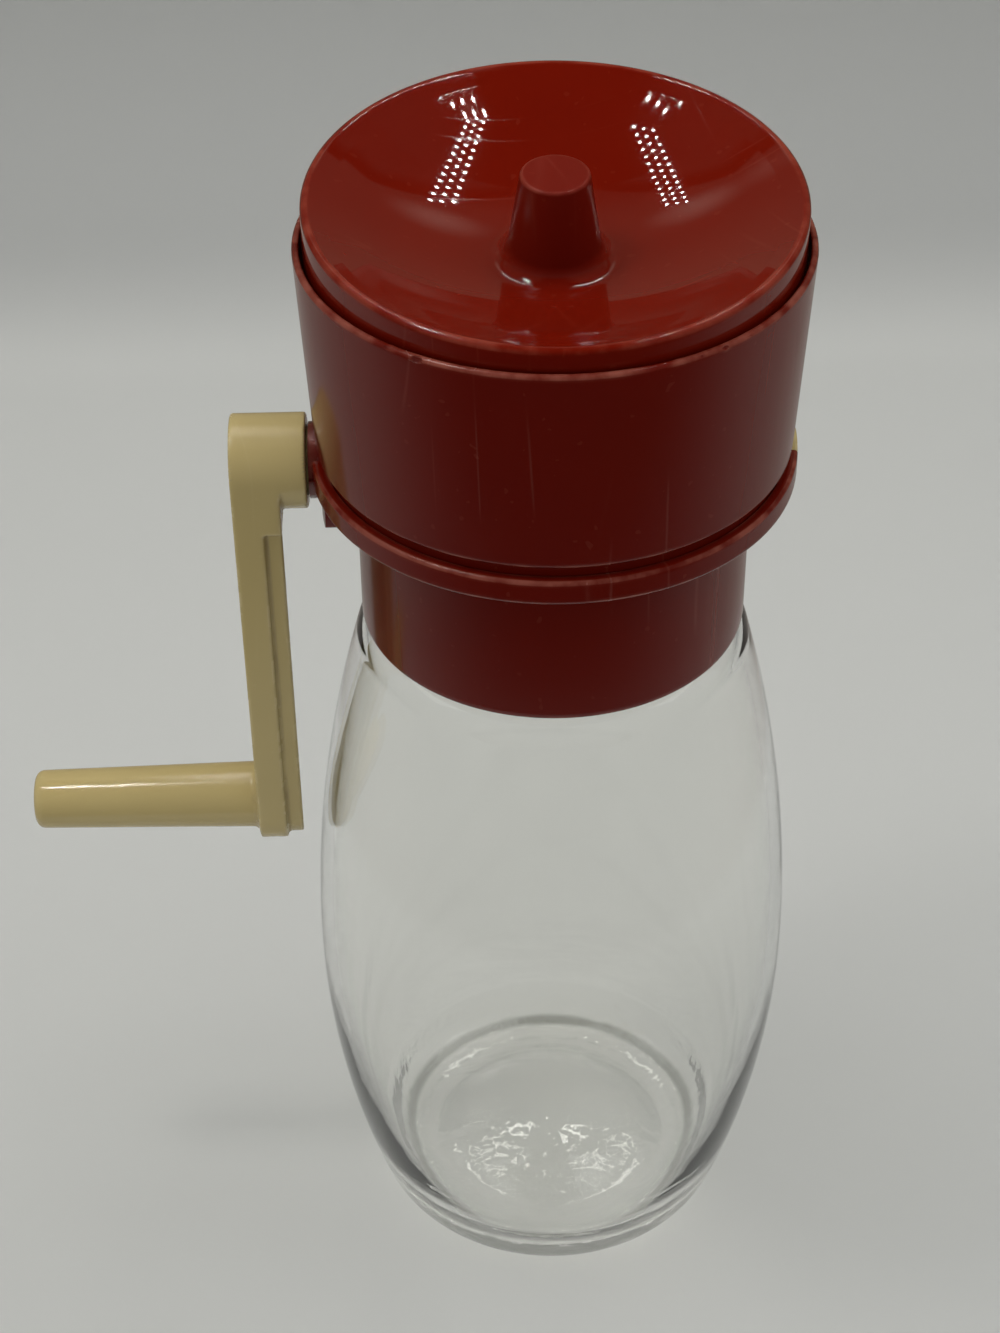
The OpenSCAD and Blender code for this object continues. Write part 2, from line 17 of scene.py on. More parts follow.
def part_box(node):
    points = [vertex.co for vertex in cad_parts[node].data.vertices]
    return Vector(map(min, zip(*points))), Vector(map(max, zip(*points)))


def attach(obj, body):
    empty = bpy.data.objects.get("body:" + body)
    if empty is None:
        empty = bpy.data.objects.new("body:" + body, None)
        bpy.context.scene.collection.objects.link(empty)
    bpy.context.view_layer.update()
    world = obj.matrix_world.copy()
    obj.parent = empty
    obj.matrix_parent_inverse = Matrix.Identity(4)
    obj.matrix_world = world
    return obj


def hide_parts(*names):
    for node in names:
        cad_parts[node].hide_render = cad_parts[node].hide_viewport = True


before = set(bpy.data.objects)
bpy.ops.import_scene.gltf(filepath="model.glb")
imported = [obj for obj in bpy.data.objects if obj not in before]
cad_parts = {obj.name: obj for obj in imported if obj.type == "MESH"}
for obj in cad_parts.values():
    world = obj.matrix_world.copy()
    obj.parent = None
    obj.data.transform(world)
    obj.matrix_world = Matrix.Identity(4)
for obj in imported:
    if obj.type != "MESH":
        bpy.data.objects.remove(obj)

LOG = logging.getLogger("nut_grinder")
MM = 0.001

Point = Tuple[float, float]
Place = Tuple[float, float, float]
Colour = Tuple[float, float, float]
Mesh = bpy.types.Object


class Body(Enum):
    """Bodies of the motion model that a piece can ride on."""

    JAR = "jar"
    HEAD = "head"
    ROTOR = "rotor"
    LID = "lid"


class Slot(Enum):
    """Names of the finish slots."""

    GLASS = "clear_glass"
    RED = "red_plastic"
    CREAM = "cream_plastic"


class Axis(Enum):
    """Axis that a turned piece is spun about."""

    UP = (0.0, 0.0, 1.0)
    SHAFT = (1.0, 0.0, 0.0)


class Join(Enum):
    """Ways of joining a second solid to a piece."""

    ADD = "UNION"
    CUT = "DIFFERENCE"
    KEEP = "INTERSECT"


@dataclass(frozen=True)
class Corner:
    """Corner of a section: distance from the axis, place along it, and its rounding radius."""

    r: float
    z: float
    rounding: float = 0.0


def arc(centre: Point, radius: float, start: float, end: float, steps: int) -> List[Point]:
    """Points of a circular arc from one angle to another in degrees, in equal steps."""
    angles = [math.radians(start + (end - start) * i / steps) for i in range(steps + 1)]
    return [(centre[0] + radius * math.cos(a), centre[1] + radius * math.sin(a)) for a in angles]


def rounded(corners: Sequence[Corner], closed: bool = True, steps: int = 6,
            hold: float = 0.5 * MM) -> List[Point]:
    """Outline through corners, with a small arc at each corner that has a rounding radius.

    Args:
        corners: Corners in order.
        closed: Whether the last corner joins the first.
        steps: Steps of each arc.
        hold: Distance past an arc at which one more point holds its shading.

    Returns:
        Points of the outline, without a repeat of the first point.
    """
    points: List[Point] = []
    count = len(corners)
    for i, corner in enumerate(corners):
        here = Vector((corner.r, corner.z))
        if corner.rounding <= 0 or (not closed and i in (0, count - 1)):
            points.append((here.x, here.y))
            continue
        before, after = corners[i - 1], corners[(i + 1) % count]
        back = Vector((before.r, before.z)) - here
        on = Vector((after.r, after.z)) - here
        half = back.angle(on) / 2
        reach = corner.rounding / math.tan(half)
        first, last = here + back.normalized() * reach, here + on.normalized() * reach
        middle = here + (back.normalized() + on.normalized()).normalized() * (
            corner.rounding / math.sin(half))
        if back.length > 2 * (reach + hold):
            points.append(tuple(first + back.normalized() * hold))
        span = math.pi - 2 * half
        turn = 1 if back.cross(on) < 0 else -1
        spoke = first - middle
        for step in range(steps + 1):
            spun = Matrix.Rotation(turn * span * step / steps, 2) @ spoke
            points.append(tuple(middle + spun))
        if on.length > 2 * (reach + hold):
            points.append(tuple(last + on.normalized() * hold))
    return points


class Bench:
    """Modelling steps that the pieces share."""

    MERGE = 0.002 * MM
    BEVEL_STEPS = 4

    @staticmethod
    def clear() -> None:
        """Deselect everything, in object mode."""
        if bpy.context.mode != "OBJECT":
            bpy.ops.object.mode_set(mode="OBJECT")
        bpy.ops.object.select_all(action="DESELECT")

    @staticmethod
    def pick(piece: Mesh) -> None:
        """Select one piece and make it the active one."""
        Bench.clear()
        piece.select_set(True)
        bpy.context.view_layer.objects.active = piece

    @staticmethod
    def begin(name: str) -> Mesh:
        """Name the mesh that was just added, go into edit mode and return the piece."""
        piece = bpy.context.object
        piece.name = piece.data.name = name
        bpy.ops.object.mode_set(mode="EDIT")
        return piece

    @staticmethod
    def modify(piece: Mesh, kind: str, **settings: object) -> None:
        """Give a piece a modifier with some settings and apply it."""
        Bench.pick(piece)
        modifier = piece.modifiers.new(kind.lower(), kind)
        for name, value in settings.items():
            setattr(modifier, name, value)
        bpy.ops.object.modifier_apply(modifier=modifier.name)

    @staticmethod
    def wire(name: str, points: Sequence[Vector]) -> Mesh:
        """Chain of edges, extruded from one vertex, left in edit mode with all of it selected.

        Args:
            name: Name of the new piece.
            points: Places along the chain.

        Returns:
            The new piece.
        """
        Bench.clear()
        bpy.ops.mesh.primitive_plane_add(size=MM)
        piece = Bench.begin(name)
        bpy.ops.mesh.select_mode(type="VERT")
        bpy.ops.mesh.merge(type="CENTER")
        bpy.ops.transform.translate(value=points[0])
        for start, end in zip(points, points[1:]):
            bpy.ops.mesh.extrude_vertices_move(TRANSFORM_OT_translate={"value": end - start})
        bpy.ops.mesh.select_all(action="SELECT")
        return piece

    @staticmethod
    def heal() -> None:
        """Merge doubled vertices and turn the faces outwards, in edit mode."""
        bpy.ops.mesh.select_all(action="SELECT")
        bpy.ops.mesh.remove_doubles(threshold=Bench.MERGE)
        bpy.ops.mesh.normals_make_consistent(inside=False)
        bpy.ops.object.mode_set(mode="OBJECT")

    @staticmethod
    def turned(name: str, section: Sequence[Point], steps: int, axis: Axis = Axis.UP,
               axis_z: float = 0.0, closed: bool = True) -> Mesh:
        """Solid spun from a section.

        Args:
            name: Name of the new piece.
            section: Distances from the axis and places along it.
            steps: Segments of the full turn.
            axis: Axis of the spin.
            axis_z: Height of the axis, for one that lies along the shaft.
            closed: Whether the section's end joins its start, as for a ring.

        Returns:
            The new piece.
        """
        outline = list(section) + ([section[0]] if closed else [])
        if axis is Axis.UP:
            points = [Vector((r, 0, along)) for r, along in outline]
        else:
            points = [Vector((along, 0, axis_z + r)) for r, along in outline]
        piece = Bench.wire(name, points)
        bpy.ops.mesh.spin(steps=steps, angle=2 * math.pi, center=(0, 0, axis_z), axis=axis.value)
        Bench.heal()
        return piece

    @staticmethod
    def box(name: str, low: Vector, high: Vector, bevel: float = 0.0) -> Mesh:
        """Box between two corners, with its edges rounded.

        Args:
            name: Name of the new piece.
            low: Lowest corner.
            high: Highest corner.
            bevel: Radius of the rounded edges.

        Returns:
            The new piece.
        """
        Bench.clear()
        bpy.ops.mesh.primitive_cube_add(size=1)
        piece = Bench.begin(name)
        bpy.ops.transform.resize(value=high - low)
        bpy.ops.transform.translate(value=(low + high) / 2)
        if bevel > 0:
            bpy.ops.mesh.bevel(offset=bevel, segments=Bench.BEVEL_STEPS, affect="EDGES")
        Bench.heal()
        return piece

    @staticmethod
    def join(piece: Mesh, tool: Mesh, how: Join) -> None:
        """Join a second solid to a piece, or cut the piece with it, and use the second one up."""
        Bench.modify(piece, "BOOLEAN", operation=how.value, solver="EXACT", object=tool)
        bpy.data.objects.remove(tool)

    @staticmethod
    def smooth(piece: Mesh, angle: float = 35.0) -> None:
        """Shade a piece smooth up to an edge angle in degrees."""
        Bench.pick(piece)
        bpy.ops.object.shade_smooth_by_angle(angle=math.radians(angle))

    @staticmethod
    def mark(piece: Mesh, name: str, values: Sequence[float]) -> None:
        """Store one number for each vertex under a name, which a finish can read."""
        piece.data.attributes.new(name, "FLOAT", "POINT").data.foreach_set("value", values)

    @staticmethod
    def mark_edges(piece: Mesh, least: float = 250.0, most: float = 1100.0) -> None:
        """Store how convex and how hollow each vertex is: the convex share drives wear and a painted
        edge highlight in the finish, the hollow share grime.

        Args:
            piece: Piece to mark.
            least: Curvature, in 1/m, below which nothing shows.
            most: Curvature at which it shows in full.
        """
        net = bmesh.new()
        net.from_mesh(piece.data)
        convex = [0.0] * len(net.verts)
        hollow = [0.0] * len(net.verts)
        for edge in net.edges:
            if len(edge.link_faces) != 2:
                continue
            one, other = edge.link_faces
            gap = max((one.calc_center_median() - other.calc_center_median()).length, 0.05 * MM)
            bend = edge.calc_face_angle_signed(0.0) / gap
            share = max(0.0, min(1.0, (abs(bend) - least) / (most - least)))
            kept = convex if bend > 0 else hollow
            for vert in edge.verts:
                kept[vert.index] = max(kept[vert.index], share)
        net.free()
        # The convex share lightens edges in the finish, as wear and as a painted edge highlight.
        Bench.mark(piece, "wear_and_edge_highlight", convex)
        Bench.mark(piece, "grime", hollow)


@dataclass(frozen=True)
class Screw:
    """Thread that the jar and the collar share: its widths are those at the root and the crest."""

    widths: Point = (2.2 * MM, 1.1 * MM)
    pitch: float = 4.2 * MM
    turns: float = 1.25
    sink: float = 0.4 * MM
    steps: int = 72

    def ridge(self, name: str, wall_r: float, tip_r: float, start_z: float) -> Mesh:
        """Helical ridge with closed ends.

        Args:
            name: Name of the new piece.
            wall_r: Radius of the wall that the ridge grows out of.
            tip_r: Radius of its crest.
            start_z: Height of the ridge's start.

        Returns:
            The new piece.
        """
        root_r = wall_r + math.copysign(self.sink, wall_r - tip_r)
        root, crest = (width / 2 for width in self.widths)
        corners = [(root_r, -root), (tip_r, -crest), (tip_r, crest), (root_r, root), (root_r, -root)]
        piece = Bench.wire(name, [Vector((r, 0, start_z + z)) for r, z in corners])
        bpy.ops.mesh.remove_doubles(threshold=Bench.MERGE)
        steps = round(self.steps * self.turns)
        Bench.modify(piece, "SCREW", angle=2 * math.pi * self.turns, steps=steps,
                     render_steps=steps, screw_offset=self.pitch * self.turns)
        bpy.ops.object.mode_set(mode="EDIT")
        bpy.ops.mesh.select_all(action="SELECT")
        bpy.ops.mesh.fill_holes(sides=0)
        Bench.heal()
        return piece


SCREW = Screw()


class Wire:
    """Output of a shader node; arithmetic on it adds Math nodes."""

    def __init__(self, graph: "Graph", socket: bpy.types.NodeSocket) -> None:
        """Wrap a socket of a graph."""
        self.graph = graph
        self.socket = socket

    def _math(self, operation: str, first: "Value", second: "Value") -> "Wire":
        """Math node on two values."""
        return self.graph.node("ShaderNodeMath", {"operation": operation}, {0: first, 1: second})

    def __add__(self, other: "Value") -> "Wire":
        """Sum."""
        return self._math("ADD", self, other)

    def __radd__(self, other: "Value") -> "Wire":
        """Sum, reflected."""
        return self._math("ADD", other, self)

    def __sub__(self, other: "Value") -> "Wire":
        """Difference."""
        return self._math("SUBTRACT", self, other)

    def __rsub__(self, other: "Value") -> "Wire":
        """Difference, reflected."""
        return self._math("SUBTRACT", other, self)

    def __mul__(self, other: "Value") -> "Wire":
        """Product."""
        return self._math("MULTIPLY", self, other)

    def __rmul__(self, other: "Value") -> "Wire":
        """Product, reflected."""
        return self._math("MULTIPLY", other, self)

    def ramp(self, low: float, high: float) -> "Wire":
        """Smooth step from 0 at one value to 1 at another."""
        return self.graph.node("ShaderNodeMapRange", {"interpolation_type": "SMOOTHSTEP"},
                               {"Value": self, "From Min": low, "From Max": high})


Value = Union[Wire, float, Sequence[float]]


class Graph:
    """Node tree of one material or of the world."""

    def __init__(self, owner: Union[bpy.types.Material, bpy.types.World]) -> None:
        """Start an empty tree with its output node."""
        self.owner = owner
        owner.use_nodes = True
        self.tree = owner.node_tree
        self.tree.nodes.clear()
        kind = "World" if isinstance(owner, bpy.types.World) else "Material"
        self.output = self.tree.nodes.new(f"ShaderNodeOutput{kind}")

    @classmethod
    def material(cls, name: str) -> "Graph":
        """Start the tree of a new material."""
        return cls(bpy.data.materials.new(name))

    def node(self, kind: str, settings: Optional[Dict[str, object]] = None,
             inputs: Optional[Dict[Union[str, int], Value]] = None,
             out: Union[str, int] = 0) -> Wire:
        """Add a node.

        Args:
            kind: Type of the node.
            settings: Attributes of the node, set first.
            inputs: Values or links of its sockets.
            out: Output that is returned.

        Returns:
            The chosen output.
        """
        made = self.tree.nodes.new(kind)
        for name, value in (settings or {}).items():
            setattr(made, name, value)
        for name, value in (inputs or {}).items():
            socket = made.inputs[name]
            if isinstance(value, Wire):
                self.tree.links.new(value.socket, socket)
            elif socket.type == "RGBA" and len(value) == 3:
                socket.default_value = (*value, 1.0)
            else:
                socket.default_value = value
        return Wire(self, made.outputs[out])

    def place(self, stretch: Sequence[float] = (1, 1, 1), turn: Sequence[float] = (0, 0, 0),
              shift: Sequence[float] = (0, 0, 0)) -> Wire:
        """Object coordinates, shifted, turned and then stretched."""
        raw = self.node("ShaderNodeTexCoord", out="Object")
        return self.node("ShaderNodeMapping", {"vector_type": "TEXTURE"}, {
            "Vector": raw, "Scale": stretch, "Rotation": turn, "Location": shift})

    def along(self, axis: str) -> Wire:
        """One object coordinate in metres, by the letter of its axis."""
        return self.node("ShaderNodeSeparateXYZ", {}, {0: self.place()}, out=axis)

    def noise(self, scale: float, detail: float = 2.0, at: Optional[Wire] = None,
              warp: float = 0.0) -> Wire:
        """Noise from 0 to 1, in features per metre."""
        return self.node("ShaderNodeTexNoise", {}, {
            "Vector": at or self.place(), "Scale": scale, "Detail": detail, "Distortion": warp})

    def mark(self, name: str) -> Wire:
        """Number that the mesh stores under a name."""
        return self.node("ShaderNodeAttribute", {"attribute_name": name}, out="Fac")

    def ray(self, kind: str) -> Wire:
        """1 for light paths of one kind, such as "Is Glossy Ray"."""
        return self.node("ShaderNodeLightPath", out=kind)

    def size(self, value: Wire) -> Wire:
        """Value without its sign."""
        return self.node("ShaderNodeMath", {"operation": "ABSOLUTE"}, {0: value})

    def blend(self, share: Value, first: Value, second: Value) -> Wire:
        """Colour between two colours."""
        return self.node("ShaderNodeMix", {"data_type": "RGBA"}, {
            0: share, 6: first, 7: second}, out=2)

    def hairlines(self, turn: float, scale: float, stretch: float, width: float,
                  seed: float) -> Wire:
        """Thin, sparse scratches that run one way.

        Args:
            turn: Direction of the scratches about Z in radians.
            scale: Scratches per metre across their run.
            stretch: Length of a scratch over their spacing.
            width: How far the field may be from its middle on a scratch.
            seed: Shift that makes one layer differ from another.

        Returns:
            1 on a scratch, 0 beside it.
        """
        run = self.place((1, stretch, stretch), (0, 0, turn), (seed, seed, 0))
        field = self.noise(scale, 0.0, run)
        patches = self.noise(scale / 4, 1.0, self.place(shift=(0, seed, seed))).ramp(0.54, 0.66)
        return (1 - self.size(field - 0.5).ramp(0.0, width)) * patches

    def bump(self, height: Wire, strength: float, distance: float) -> Wire:
        """Normal that follows a height."""
        return self.node("ShaderNodeBump", {}, {
            "Height": height, "Strength": strength, "Distance": distance}, out="Normal")

    def shader(self, inputs: Dict[Union[str, int], Value]) -> Wire:
        """Principled shader with values or links on its sockets."""
        return self.node("ShaderNodeBsdfPrincipled", {}, inputs)

    def finish(self, shader: Wire) -> Union[bpy.types.Material, bpy.types.World]:
        """Send a shader to the output and return the finished material or world."""
        self.tree.links.new(shader.socket, self.output.inputs["Surface"])
        return self.owner


@dataclass(frozen=True)
class Plastic:
    """Glossy moulded plastic with hairline scratches, grime in its corners, and convex edges lightened
    partly as wear and partly as a painted edge highlight.
    """

    name: str
    base: Colour
    deep: Colour
    worn_and_highlight: Colour
    dirt: Colour
    roughness: float
    scratch: float
    wear_and_edge_highlight: float
    grime: float
    peel: float
    grip: bool = False

    def material(self) -> bpy.types.Material:
        """Material of this plastic, duller on a grip where the mesh is marked as handled."""
        g = Graph.material(self.name)
        cloud = g.noise(20, 2.0, warp=0.3)
        peel = g.noise(260, 1.0)
        speck = g.noise(700, 0.0).ramp(0.79, 0.82)
        lines = (g.hairlines(0.35, 110, 16, 0.020, 0.07) + g.hairlines(1.7, 150, 20, 0.018, 0.31)
                 + g.hairlines(2.6, 90, 12, 0.016, 0.53))
        # Convex edges take the lightened tint: partly real wear, partly a painted highlight along the
        # edges.
        edge_wear_and_highlight = g.mark("wear_and_edge_highlight") * g.noise(170, 4.0).ramp(0.34, 0.66)
        dust = g.mark("grime") * g.noise(120, 3.0).ramp(0.25, 0.75)
        colour = g.blend(cloud.ramp(0.3, 0.7), self.base, self.deep)
        colour = g.blend((0.30 * lines + 0.25 * speck) * self.scratch, colour, self.worn_and_highlight)
        colour = g.blend(edge_wear_and_highlight * self.wear_and_edge_highlight, colour, self.worn_and_highlight)
        colour = g.blend(dust * self.grime, colour, self.dirt)
        rough = (self.roughness + 0.03 * (cloud - 0.5) + lines * (0.22 * self.scratch)
                 + 0.12 * edge_wear_and_highlight + 0.25 * dust - 0.11 * g.mark("polished"))
        height = peel * self.peel - lines * (0.1 * self.scratch)
        inputs = {"Base Color": colour, "Roughness": rough, "Normal": g.bump(height, 0.10, 0.06 * MM)}
        if not self.grip:
            return g.finish(g.shader(inputs))
        dull = {**inputs, "Roughness": rough + 0.28, "Specular IOR Level": 0.18}
        return g.finish(g.node("ShaderNodeMixShader", {}, {
            0: g.mark("handled"), 1: g.shader(inputs), 2: g.shader(dull)}))


@dataclass(frozen=True)
class Glass:
    """Clear pressed glass with a faint tint, slow waves, a few smears and a hammered floor.

    Part of it lets the view straight through at the heel.
    """

    name: str = "clear_pressed_glass"
    tint: Colour = (0.994, 0.996, 0.983)
    smeared: Colour = (0.95, 0.955, 0.93)
    shade: Colour = (0.970, 0.970, 0.962)
    index: float = 1.5
    floor_z: float = 8 * MM
    heel_z: Point = (2 * MM, 10 * MM)
    heel_share: float = 0.22

    def material(self) -> bpy.types.Material:
        """Material of this glass, which lets the lamps' light through to the table."""
        g = Graph.material(self.name)
        waves = g.noise(30, 2.0, g.place((1, 1, 2.2)), 0.3)
        z = g.along("Z")
        near_floor = 1 - z.ramp(self.floor_z + 1 * MM, self.floor_z + 5 * MM)
        hammer = 3.4 * g.noise(85, 2.0, warp=0.8) + 0.8 * g.noise(480, 1.0)
        smear = g.noise(18, 4.0, warp=1.2).ramp(0.56, 0.80)
        height = waves + 0.10 * g.noise(130, 2.0) + hammer * near_floor
        glass = g.shader({
            "Base Color": g.blend(smear * 0.25, self.tint, self.smeared),
            "Roughness": 0.004 + 0.05 * smear, "IOR": self.index, "Transmission Weight": 1.0,
            "Normal": g.bump(height, 0.25, 0.5 * MM)})
        clear = g.node("ShaderNodeBsdfTransparent", {}, {"Color": self.shade})
        seen = self.heel_share * (1 - z.ramp(*self.heel_z))
        shadow = g.ray("Is Shadow Ray")
        return g.finish(g.node("ShaderNodeMixShader", {}, {
            0: shadow + (1 - shadow) * seen, 1: glass, 2: clear}))


@dataclass(frozen=True)
class Steel:
    """Stamped stainless steel with a brushed grain and dull spots."""

    name: str
    base: Colour = (0.56, 0.56, 0.545)
    dull: Colour = (0.40, 0.395, 0.38)
    grain: Tuple[float, float, float] = (14, 1, 1)

    def material(self) -> bpy.types.Material:
        """Material of this steel."""
        g = Graph.material(self.name)
        grain = g.noise(2200, 4.0, g.place(self.grain))
        spots = g.noise(90, 4.0, warp=0.6).ramp(0.5, 0.75)
        return g.finish(g.shader({
            "Base Color": g.blend(spots, self.base, self.dull), "Metallic": 1.0,
            "Roughness": 0.24 + 0.18 * grain + 0.15 * spots,
            "Normal": g.bump(grain, 0.15, 0.05 * MM)}))


@dataclass(frozen=True)
class Rubber:
    """Matt off-white sealing rubber."""

    name: str = "seal_white_rubber"
    base: Colour = (0.52, 0.50, 0.44)
    stain: Colour = (0.40, 0.36, 0.28)

    def material(self) -> bpy.types.Material:
        """Material of this rubber."""
        g = Graph.material(self.name)
        cloud = g.noise(70, 4.0)
        grain = g.noise(900, 2.0)
        return g.finish(g.shader({
            "Base Color": g.blend(cloud.ramp(0.45, 0.75), self.base, self.stain),
            "Roughness": 0.62 + 0.2 * (grain - 0.5),
            "Normal": g.bump(grain, 0.2, 0.05 * MM)}))


# Each plastic's lightened tint marks scratches and wear, and on convex edges also a painted edge
# highlight.
RED = Plastic("red_moulded_plastic", base=(0.116, 0.0044, 0.0010), deep=(0.106, 0.0037, 0.0009),
              worn_and_highlight=(0.26, 0.065, 0.042), dirt=(0.040, 0.004, 0.003), roughness=0.15,
              scratch=0.5, wear_and_edge_highlight=0.9, grime=0.4, peel=0.5)
RED_LID = Plastic("red_lid_plastic", base=(0.134, 0.0055, 0.0013), deep=(0.124, 0.0046, 0.0011),
                  worn_and_highlight=(0.24, 0.040, 0.022), dirt=(0.05, 0.005, 0.003), roughness=0.035,
                  scratch=0.5, wear_and_edge_highlight=0.6, grime=0.2, peel=0.25, grip=True)
CREAM = Plastic("cream_moulded_plastic", base=(0.512, 0.407, 0.180), deep=(0.488, 0.384, 0.166),
                worn_and_highlight=(0.60, 0.50, 0.27), dirt=(0.17, 0.115, 0.050), roughness=0.19,
                scratch=0.3, wear_and_edge_highlight=0.4, grime=0.5, peel=0.6)
CLEAR = Glass()
COMB_STEEL = Steel("comb_plate_steel")
BLADE_STEEL = Steel("rotor_blade_steel", grain=(1, 14, 1))
SHAFT_STEEL = Steel("shaft_bar_steel", grain=(10, 1, 1))
WHITE_RUBBER = Rubber()


def dress(piece: Mesh, finish: bpy.types.Material, body: Body, slot: Slot, *nodes: str) -> None:
    """Give a finished piece its material and its body, and hide the nodes that it stands for.

    Args:
        piece: Finished piece.
        finish: Its material.
        body: Body that it rides on.
        slot: Slot of its finish; not used.
        nodes: Solids that it replaces.
    """
    piece.data.materials.clear()
    piece.data.materials.append(finish)
    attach(piece, body.value)
    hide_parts(*nodes)
    LOG.info("%s: %d faces on %s", piece.name, len(piece.data.polygons), body.value)


def refinish(node: str, finish: bpy.types.Material) -> None:
    """Give a solid that stays in view a better material."""
    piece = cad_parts[node]
    for place in piece.material_slots:
        place.material = finish
    if not piece.material_slots:
        piece.data.materials.append(finish)
    LOG.info("%s: keeps its solid, finish %s", node, finish.name)


@dataclass
class GlassJar:
    """Barrel jar with a thick floor and a threaded neck."""

    belly_z: float = 65 * MM
    foot_r: float = 28.5 * MM
    heel_r: float = 8 * MM
    shoulder_r: float = 35.6 * MM
    shoulder_round: float = 8 * MM
    shoulder_top: float = 143.9 * MM
    wall: float = 2.5 * MM
    floor: float = 8.5 * MM
    dome_r: float = 58 * MM
    inner_lower_r: float = 175 * MM
    inner_heel_r: float = 12 * MM
    foot_w: float = 3.5 * MM
    push_up: float = 3.6 * MM
    neck_r: float = 29.8 * MM
    lip_round: float = 1.1 * MM
    thread_h: float = 1.4 * MM
    thread_drop: float = 9 * MM
    steps: int = 160

    def section(self, belly_r: float, height: float) -> List[Point]:
        """Section of the glass, up the outside and down the inside.

        Args:
            belly_r: Widest outside radius.
            height: Height of the mouth.

        Returns:
            Distances from the axis and heights.
        """
        shoulder = Vector((self.shoulder_r - self.shoulder_round,
                           self.shoulder_top - self.shoulder_round))
        heel = Vector((self.foot_r, self.heel_r))
        upper_r = self.barrel_radius(belly_r, shoulder, self.shoulder_round)
        lower_r = self.barrel_radius(belly_r, heel, self.heel_r)
        upper = (belly_r - upper_r, self.belly_z)
        lower = (belly_r - lower_r, self.belly_z)
        turn_a = math.degrees(math.atan2(shoulder.y - upper[1], shoulder.x - upper[0]))
        heel_a = math.degrees(math.atan2(heel.y - lower[1], heel.x - lower[0]))
        neck_a = math.degrees(math.acos((self.neck_r - shoulder.x) / self.shoulder_round))
        mouth_r = self.neck_r - self.wall
        in_round = self.shoulder_round - self.wall
        bowl = Vector((belly_r - self.wall - self.inner_lower_r, self.belly_z))
        dome = Vector((0.0, self.floor - self.dome_r))
        in_heel = self.meet(bowl, self.inner_lower_r - self.inner_heel_r,
                            dome, self.dome_r + self.inner_heel_r)
        bowl_a, dome_a = (math.degrees(math.atan2(in_heel.y - centre.y, in_heel.x - centre.x))
                          for centre in (bowl, dome))
        foot_in = self.foot_r - self.foot_w
        hollow_r = (foot_in ** 2 + self.push_up ** 2) / (2 * self.push_up)
        hollow_a = math.degrees(math.acos(foot_in / hollow_r))
        lip = self.lip_round
        return (
            arc((0, self.push_up - hollow_r), hollow_r, 90, hollow_a, 14)
            + arc(tuple(heel), self.heel_r, -90, heel_a, 16)
            + arc(lower, lower_r, heel_a, 0, 26)[1:]
            + arc(upper, upper_r, 0, turn_a, 28)[1:]
            + arc(tuple(shoulder), self.shoulder_round, turn_a, neck_a, 14)[1:]
            + arc((self.neck_r - lip, height - lip), lip, 0, 90, 6)
            + arc((mouth_r + lip, height - lip), lip, 90, 180, 6)
            + arc(tuple(shoulder), in_round, 90, turn_a, 12)
            + arc(upper, upper_r - self.wall, turn_a, 0, 28)[1:]
            + arc(tuple(bowl), self.inner_lower_r, 0, bowl_a, 26)[1:]
            + arc(tuple(in_heel), self.inner_heel_r, bowl_a, dome_a - 180, 14)[1:]
            + arc(tuple(dome), self.dome_r, dome_a, 90, 10)[1:])

    @staticmethod
    def meet(first: Vector, first_r: float, second: Vector, second_r: float) -> Vector:
        """Point at set distances from two others, on the side that faces away from the axis."""
        gap = second - first
        along = (first_r ** 2 - second_r ** 2 + gap.length_squared) / (2 * gap.length)
        across = math.sqrt(first_r ** 2 - along ** 2)
        step = gap.normalized()
        return first + along * step + across * Vector((-step.y, step.x))

    def barrel_radius(self, belly_r: float, round_c: Vector, round_r: float) -> float:
        """Radius of the barrel's arc from the belly to the round of a shoulder or a heel."""
        across, along = round_c.x - belly_r, round_c.y - self.belly_z
        return (round_r ** 2 - across ** 2 - along ** 2) / (2 * (across + round_r))

    def build(self) -> None:
        """Model the jar with its thread and dress it."""
        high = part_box("glass_jar")[1]
        jar = Bench.turned("jar_glass", self.section(high.y, high.z), self.steps, closed=False)
        Bench.join(jar, SCREW.ridge("jar_thread", self.neck_r, self.neck_r + self.thread_h,
                                    high.z - self.thread_drop), Join.ADD)
        Bench.smooth(jar)
        dress(jar, CLEAR.material(), Body.JAR, Slot.GLASS, "glass_jar")


